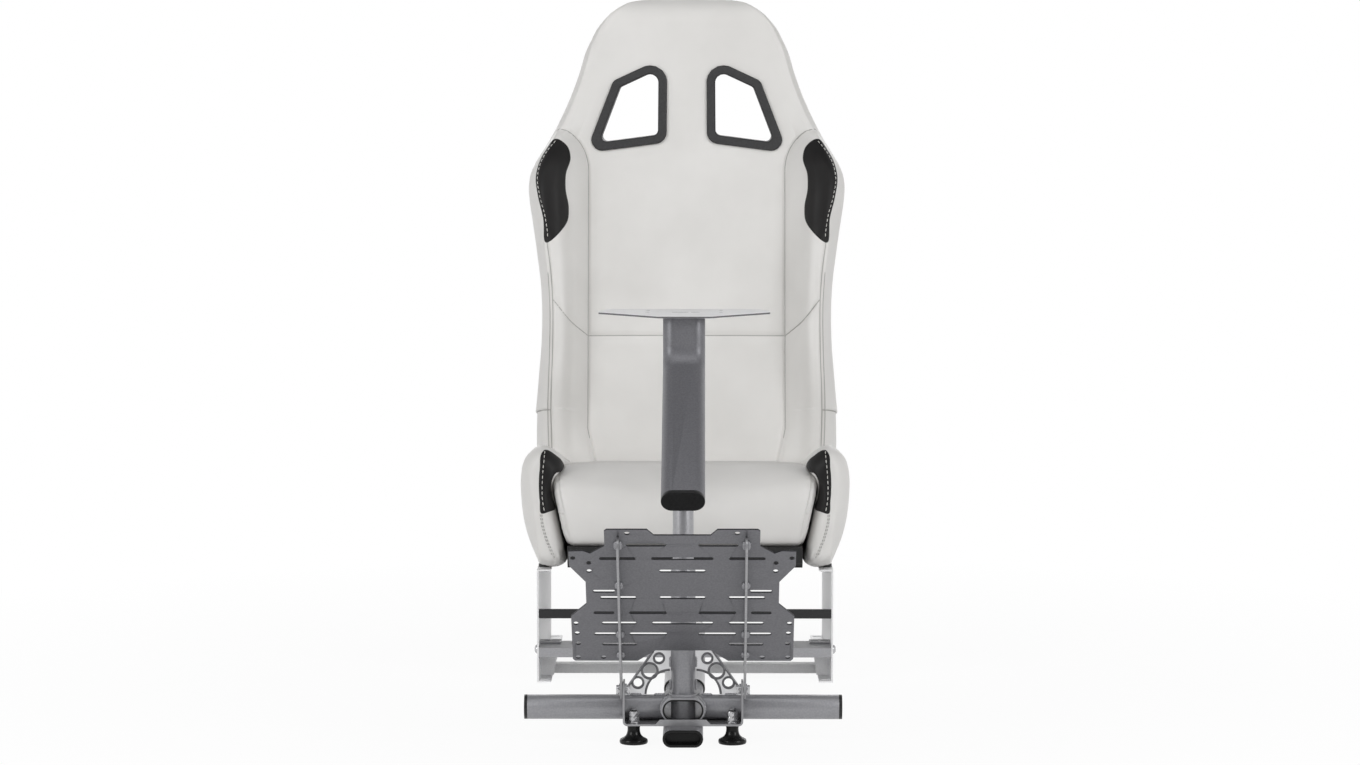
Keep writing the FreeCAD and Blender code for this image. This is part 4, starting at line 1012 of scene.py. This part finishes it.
for side, sign in SIDES:
    panel("shoulder_panel_" + side, back_tree, SHOULDER_PATCH, sign)
    run = sewn(back_tree, SHOULDER_STITCH, sign, PATCH_LIFT)
    dashes("shoulder_stitching_" + side, [run], THREAD)
    thigh_tree = surface(bolsters[side])
    panel("thigh_panel_" + side, thigh_tree, THIGH_PATCH, sign)
    run = sewn(thigh_tree, THIGH_STITCH, sign, PATCH_LIFT)
    dashes("thigh_stitching_" + side, [run], THREAD)
    runs = []
    for shift in (-FOOT_STITCH_GAP, FOOT_STITCH_GAP):
        runs.append(sewn(thigh_tree, [(x + shift, y) for x, y in FOOT_STITCH], sign))
    # These stitches are drawn in the grey of the painted seam shadow.
    dashes("foot_stitching_" + side, runs, SEAM_SHADOW_GREY, 0.0034, 0.0018, 0.0005)

# Seam cords on the backrest, laid in its own coordinates: thin grey cords that paint the shadow in the seams
# and under the hem
SEAM_RADIUS = 0.0007
HEM_RADIUS = 0.0010
PIPING_RADIUS = 0.0016
PIPING_LOW = 0.07
PIPING_HIGH = BACK_TOP - 0.012
HEM_START = 0.206


def on_back(x, z):
    """Where a place on the backrest's front is, lifted a little off the cover, or None outside it."""
    way = Vector((0.0, math.cos(LEAN), -math.sin(LEAN)))
    place, _, _, _ = back_tree.ray_cast(Vector(back_place(x, -0.2, z)), way)
    return None if place is None else place - way * SEAM_RADIUS * 0.5


def back_seam_shadow(line, spans=12):
    """A cord of painted seam shadow along a line of the backrest's front."""
    path = [on_back(x, z) for x, z in flowing(line, [spans] * (len(line) - 1))]
    return cord([p for p in path if p is not None], SEAM_RADIUS)


SEAM_STEP = 0.0045
SEAM_START = 24
HEM_PLACE = HEM_LEVEL - 0.0012
shapes = [back_seam_shadow(lower_line, 90)]
for sign in (-1, 1):
    for line, spans in ((wing_line[SEAM_START:], 4), (slant_line, 12), (outer_line, 4)):
        shapes.append(back_seam_shadow([(sign * x, z) for x, z in line], spans))
    shapes.append(back_seam_shadow([(sign * (x + SEAM_STEP), z) for x, z in outer_line[1:]]))
add_piece("backrest_seam_shadows", joined(shapes), SEAM_SHADOW_GREY, "seat_frame")

# A grey cord along the hem's step, round the outer wings and the back: painted shadow under the hem.
right_hem_shadow = []
for i, (x, y) in enumerate(zip(*back_section(HEM_PLACE))):
    if x > HEM_START or i > PIPING_COLUMN:
        right_hem_shadow.append(back_place(x, y, HEM_PLACE))
left_hem_shadow = [p * MIRROR for p in reversed(right_hem_shadow[:-1])]
add_piece("backrest_hem_shadow", cord(right_hem_shadow + left_hem_shadow, HEM_RADIUS), SEAM_SHADOW_GREY, "seat_frame")

rows = [i for i in range(len(levels)) if PIPING_LOW < levels[i] < PIPING_HIGH]
up_side = [rings_of_back[i][PIPING_COLUMN] for i in rows]
over = [rings_of_back[rows[-1]][c] for c in range(PIPING_COLUMN + 1, back_x.shape[1] - PIPING_COLUMN)]
down_side = [p * MIRROR for p in reversed(up_side)]
piping = cord(up_side + over + down_side, PIPING_RADIUS)
add_piece("backrest_piping", piping, WHITE_LEATHER, "seat_frame")

# Fasteners with chamfers, sockets and threads in place of plain cylinders
BOLT_HEAD = [
    (0.0070, 0.0), (0.0070, 0.0008), (0.0066, 0.0021), (0.0056, 0.0034), (0.0043, 0.0044),
    (0.0032, 0.0049), (0.0027, 0.0050), (0.0024, 0.0049, True), (0.0023, 0.0046, True),
    (0.0023, 0.0022, True), (0.0004, 0.0019),
]
FRAME_BOLT_X = 0.211
FRAME_BOLT_Y = (0.097, 0.453)
FRAME_BOLT_Z = 0.04275
shapes = []
for side in (-1, 1):
    for along in FRAME_BOLT_Y:
        shapes.append(lathe(BOLT_HEAD, (side * FRAME_BOLT_X, along, FRAME_BOLT_Z), (side, 0.0, 0.0)))
frame_bolts = add_piece("frame_bolt_heads", joined(shapes), ZINC, "seat_frame", True)
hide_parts("frame_bolts")
NUT_CHAMFER = 0.0009
WASHER_EASE = 0.0003
THREAD_PITCH = 0.00125
THREAD_DEPTH = 0.0004
TEETH = 22
TOOTH_DEPTH = 0.0007


def nut(radius, low, high):
    """Profile of a hexagon nut with chamfered corners."""
    inner = radius * math.cos(math.pi / 6)
    sides = [(radius, low + NUT_CHAMFER, True), (radius, high - NUT_CHAMFER, True)]
    return [(inner, low), *sides, (inner, high)]


def washer(radius, low, high):
    """Profile of a flat washer with eased edges."""
    inner = radius - WASHER_EASE
    return [(inner, low), (radius, low + WASHER_EASE), (radius, high - WASHER_EASE), (inner, high)]


def threads(radius, low, high):
    """Profile of a screw thread, as ridges."""
    steps = int((high - low) / THREAD_PITCH * 2)
    return [(radius - THREAD_DEPTH * (k % 2), low + k * THREAD_PITCH / 2) for k in range(steps + 1)]


def toothed(radius, low, high, place, axis):
    """A disc with a serrated rim."""
    profile = washer(radius, low, high)
    points, faces = lathe(profile, place, axis, TEETH * 2)
    for i in range(1, len(profile) * TEETH * 2, 2):
        out = Vector(points[i]) - Vector(place)
        out -= Vector(axis) * out.dot(Vector(axis))
        points[i] -= np.array(out.normalized() * TOOTH_DEPTH)
    return points, faces


PIVOT = Vector((0.0, -0.42805, 0.07))
PIVOT_STACK = [
    washer(0.0080, 0.0817, 0.0832), nut(0.0068, 0.0832, 0.0866), threads(0.0034, 0.0860, 0.0872),
    [(0.0040, 0.0740), (0.0040, 0.0820)], nut(0.0062, 0.0690, 0.0729),
]
shapes = []
for side in (-1, 1):
    axis = (side, 0.0, 0.0)
    shapes += [lathe(profile, PIVOT, axis) for profile in PIVOT_STACK]
    shapes.append(toothed(0.0079, 0.0728, 0.0755, PIVOT, axis))
pivots = add_piece("pedal_pivot_bolts", joined(shapes), ZINC, "front_frame", True)
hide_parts("pedal_bolts")

FOOT_X = 0.064
FOOT_Y = -0.43005
UPRIGHT = (0.0, 0.0, 1.0)
FOOT_STACK = [
    washer(0.0080, 0.0275, 0.0295), nut(0.0075, 0.0295, 0.0358), nut(0.0075, 0.0360, 0.0425),
    threads(0.0043, 0.0425, 0.0466),
]
shapes = []
for side in (-1, 1):
    shapes += [lathe(profile, (side * FOOT_X, FOOT_Y, 0.0), UPRIGHT) for profile in FOOT_STACK]
foot_nuts = add_piece("foot_nut_stack", joined(shapes), ZINC, "front_frame", True)
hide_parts("foot_nuts")

# Levelling feet: a ball neck that flares to a broad base
FOOT_SHAPE = [
    (0.0165, 0.0), (0.0178, 0.0006), (0.0184, 0.0022), (0.0184, 0.0040), (0.0178, 0.0056),
    (0.0160, 0.0068), (0.0130, 0.0082), (0.0106, 0.0102), (0.0090, 0.0130), (0.0082, 0.0165),
    (0.0080, 0.0200), (0.0083, 0.0225), (0.0083, 0.0243), (0.0076, 0.0249), (0.0043, 0.0249),
    (0.0043, 0.0440),
]
for side, sign in SIDES:
    shape = lathe(FOOT_SHAPE, (sign * FOOT_X, FOOT_Y, 0.0), UPRIGHT, 64)
    name = "levelling_foot_shape_" + side
    foot = add_piece(name, shape, GLOSS_PLASTIC, "front_frame", True)
    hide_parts("levelling_foot_" + side)

# Black plug in the front spine, with a flange over the tube's end and a deep hollow
SPINE_LEVEL = 0.014
OVAL_STEPS = 48


def oval(wide, tall, y, level):
    """An oval with straight top and bottom across the Y axis."""
    turn = np.linspace(0.0, 2 * math.pi, OVAL_STEPS, endpoint=False)
    radius = tall / 2
    shift = np.where(np.cos(turn) > 0, wide / 2 - radius, radius - wide / 2)
    across = shift + radius * np.cos(turn)
    return np.stack([across, np.full(len(turn), y), level + radius * np.sin(turn)], -1)


PLUG_STEPS = [
    (0.0476, 0.0176, -0.4600), (0.0476, 0.0176, -0.4760), (0.0518, 0.0218, -0.4761),
    (0.0524, 0.0224, -0.4768), (0.0524, 0.0224, -0.4782), (0.0514, 0.0214, -0.4790),
    (0.0456, 0.0156, -0.4790), (0.0446, 0.0146, -0.4782), (0.0436, 0.0136, -0.4640),
]
shape = skin([oval(wide, tall, y, SPINE_LEVEL) for wide, tall, y in PLUG_STEPS])
plug = add_piece("front_spine_plug_shape", shape, GLOSS_PLASTIC, "front_frame", True)
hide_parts("front_spine_plug")

# Weld beads
TUBE_RADIUS = 0.016
TUBE_PLACE = Vector((0.0, -0.40305, 0.0435))
OVAL_MIDDLE = 0.0125
SADDLE_TOP = 0.0595
POST_BEAD = 0.0019
COPE_BEAD = 0.0018
GUSSET_BEAD = 0.0017
COPE_TURN = 1.2
GUSSET_WELD_Y = -0.4053
GUSSET_WELD_X = 0.0166
SADDLE_RUNS = ((0.024, 0.038), (0.054, 0.069))
POST_RUNS = ((0.066, 0.080), (0.096, 0.110))
turns = np.linspace(0.0, 2 * math.pi, 130) + math.pi / 2
reach = TUBE_RADIUS + 0.0005
level = np.full(len(turns), SADDLE_TOP + 0.0002)
ring = np.stack([reach * np.cos(turns), TUBE_PLACE.y + reach * np.sin(turns), level], -1)
shapes = [bead(ring, POST_BEAD)]
for side in (-1, 1):
    for middle in (0.0, math.pi):
        turns = np.linspace(middle - COPE_TURN, middle + COPE_TURN, 60)
        x = side * (OVAL_MIDDLE + TUBE_RADIUS * np.abs(np.cos(turns)) + 0.0003)
        y = TUBE_PLACE.y + (TUBE_RADIUS + 0.0004) * np.cos(turns)
        z = TUBE_PLACE.z + (TUBE_RADIUS + 0.0004) * np.sin(turns)
        shapes.append(bead(np.stack([x, y, z], -1), COPE_BEAD))
    for start, end in SADDLE_RUNS:
        run = np.linspace(start, end, 24)
        shapes.append(bead([(side * x, GUSSET_WELD_Y, SADDLE_TOP + 0.0006) for x in run], GUSSET_BEAD))
    for start, end in POST_RUNS:
        run = np.linspace(start, end, 24)
        shapes.append(bead([(side * GUSSET_WELD_X, GUSSET_WELD_Y, z) for z in run], GUSSET_BEAD))
add_piece("front_frame_welds", joined(shapes), SILVER_PAINT, "front_frame")

# A thin black ring in the saddle's mouth
MOUTH_RING_STEPS = [
    (0.0529, 0.0279, -0.4230), (0.0529, 0.0279, -0.4334), (0.0520, 0.0270, -0.4339),
    (0.0498, 0.0248, -0.4339), (0.0490, 0.0240, -0.4334), (0.0490, 0.0240, -0.4230),
]
shape = hoop([oval(wide, tall, y, TUBE_PLACE.z) for wide, tall, y in MOUTH_RING_STEPS])
add_piece("saddle_mouth_ring", shape, BLACK_PLASTIC, "front_frame", True)

# Rolled rims of the gussets, in a dark zinc that paints shade along the gussets' edges and holes
GUSSET_FACES = (-0.4051, -0.4011)
GUSSET_HOLES = ((0.0315, 0.1075, 0.0066), (0.0435, 0.091, 0.0102), (0.059, 0.0755, 0.0072))
GUSSET_ARC = 0.033
RIM_RADIUS = 0.0015
GUSSET_TIP = np.array((0.075, 0.066))
GUSSET_SLOPE = np.array((-0.037, 0.052))


def arc(x, z, radius, turns):
    """Points of an arc in the plane of the gussets."""
    return [(x + radius * math.cos(t), z + radius * math.sin(t)) for t in turns]


edges = [arc(TUBE_RADIUS, SADDLE_TOP, GUSSET_ARC, np.linspace(0.04, math.pi / 2 - 0.04, 30))]
edges += [arc(*hole, np.linspace(0.0, 2 * math.pi, 49)) for hole in GUSSET_HOLES]
edges.append([GUSSET_TIP + GUSSET_SLOPE * t for t in np.linspace(0.02, 0.98, 20)])
shapes = []
for side in (-1, 1):
    for level in GUSSET_FACES:
        for edge in edges:
            shapes.append(strand([(side * x, level, z) for x, z in edge], np.full(len(edge), RIM_RADIUS)))
add_piece("gusset_shaded_rims", joined(shapes), RIM_SHADE_ZINC, "front_frame")

# Beads that hold the pedal plate to its arms
ARM_ANGLE = math.radians(134.0)
ARM_FACES = (0.0785, 0.0815)
PLATE_LEVEL = -0.0125
PLATE_BEAD = 0.0034
BEAD_OFFSET = 0.0006
WELD_RUNS = ((0.054, 0.064), (0.096, 0.108), (0.197, 0.209), (0.276, 0.291))
ALONG = Vector((0.0, math.cos(ARM_ANGLE), math.sin(ARM_ANGLE)))
OVER = Vector((0.0, -math.sin(ARM_ANGLE), math.cos(ARM_ANGLE)))
shapes = []
for side in (-1, 1):
    for face, step in zip(ARM_FACES, (-1, 1)):
        for start, end in WELD_RUNS:
            foot = PIVOT + Vector((side * (face + step * BEAD_OFFSET), 0.0, 0.0))
            foot += OVER * (PLATE_LEVEL + BEAD_OFFSET)
            shapes.append(bead([foot + ALONG * s for s in np.linspace(start, end, 20)], PLATE_BEAD))
add_piece("pedal_plate_welds", joined(shapes), GREY_PAINT, "pedal_deck")

# Floor, backdrop and soft light
FLOOR_REACH = 9.0
FLOOR_FADE = (0.55, 1.5)
FLOOR_GLOW = 0.93
WHITE = (1.0, 1.0, 1.0)
SKY_TOP = (0.22, 0.22, 0.23)
SHOWN_TOP = (0.2, 0.2, 0.21)
SKY_SPAN = (0.3, 0.8)
SKY_LIGHT = 0.7
BEHIND_CAMERA = -0.8
corners = [(x * FLOOR_REACH, y * FLOOR_REACH, 0) for x, y in ((-1, -1), (1, -1), (1, 1), (-1, 1))]
floor = add_mesh("floor", corners, [(0, 1, 2, 3)])

floor_paint = bpy.data.materials.new("pale_floor")
ground = Nodes(floor_paint)
diffuse = ground.add("BsdfDiffuse", {"Color": (0.9, 0.9, 0.9, 1.0)})
glow = ground.add("Emission", {"Strength": 1.0})
length = ground.add("VectorMath")
length.operation = "LENGTH"
ground.link(ground.add("TexCoord").outputs["Object"], length.inputs[0])
fade = ground.spread(length.outputs["Value"], FLOOR_GLOW, 1.0, *FLOOR_FADE)
share = ground.math("MULTIPLY", fade, ground.seen_rays())
shown = ground.mix(share, diffuse.outputs["BSDF"], glow.outputs["Emission"])
ground.link(shown, ground.add("OutputMaterial").inputs["Surface"])
floor.data.materials.append(floor_paint)

scene.world = bpy.data.worlds.new("studio")
studio = Nodes(scene.world)
parts = studio.add("SeparateXYZ")
studio.link(studio.add("TexCoord").outputs["Generated"], parts.inputs["Vector"])
sky = studio.ramp(parts.outputs["Z"], WHITE, SKY_TOP, *SKY_SPAN)
behind = studio.math("MULTIPLY", parts.outputs["Y"], BEHIND_CAMERA)
darker = studio.math("MAXIMUM", parts.outputs["Z"], behind)
shades = []
for colour, strength in (
    (sky, SKY_LIGHT), (studio.ramp(darker, WHITE, SHOWN_TOP, *SKY_SPAN), 1.0), (sky, 1.0)
):
    shade = studio.add("Background", {"Strength": strength})
    studio.link(colour, shade.inputs["Color"])
    shades.append(shade.outputs["Background"])
lit = studio.mix(studio.seen_rays(), shades[0], shades[1])
view = studio.mix(studio.add("LightPath").outputs["Is Camera Ray"], lit, shades[2])
studio.link(view, studio.add("OutputWorld").inputs["Surface"])


def softbox(name, place, target, wide, tall, power):
    """A large area lamp that faces a target."""
    data = bpy.data.lights.new(name, "AREA")
    data.shape = "RECTANGLE"
    data.size = wide
    data.size_y = tall
    data.energy = power
    lamp = bpy.data.objects.new(name, data)
    lamp.location = place
    lamp.rotation_euler = (Vector(target) - Vector(place)).to_track_quat("-Z", "Y").to_euler()
    scene.collection.objects.link(lamp)


LAMP_AIM = (0.0, 0.1, 0.4)
softbox("overhead_softbox", (0.0, -1.7, 3.3), LAMP_AIM, 3.2, 1.6, 22.0)
softbox("left_softbox", (-2.8, -2.6, 1.6), LAMP_AIM, 1.6, 1.8, 47.0)
softbox("right_softbox", (2.8, -2.6, 1.6), LAMP_AIM, 1.6, 1.8, 47.0)
softbox("rear_softbox", (0.0, 3.6, 1.9), (0.0, 0.3, 0.5), 3.0, 1.8, 36.0)

# Bring the scene up to date
bpy.context.view_layer.update()
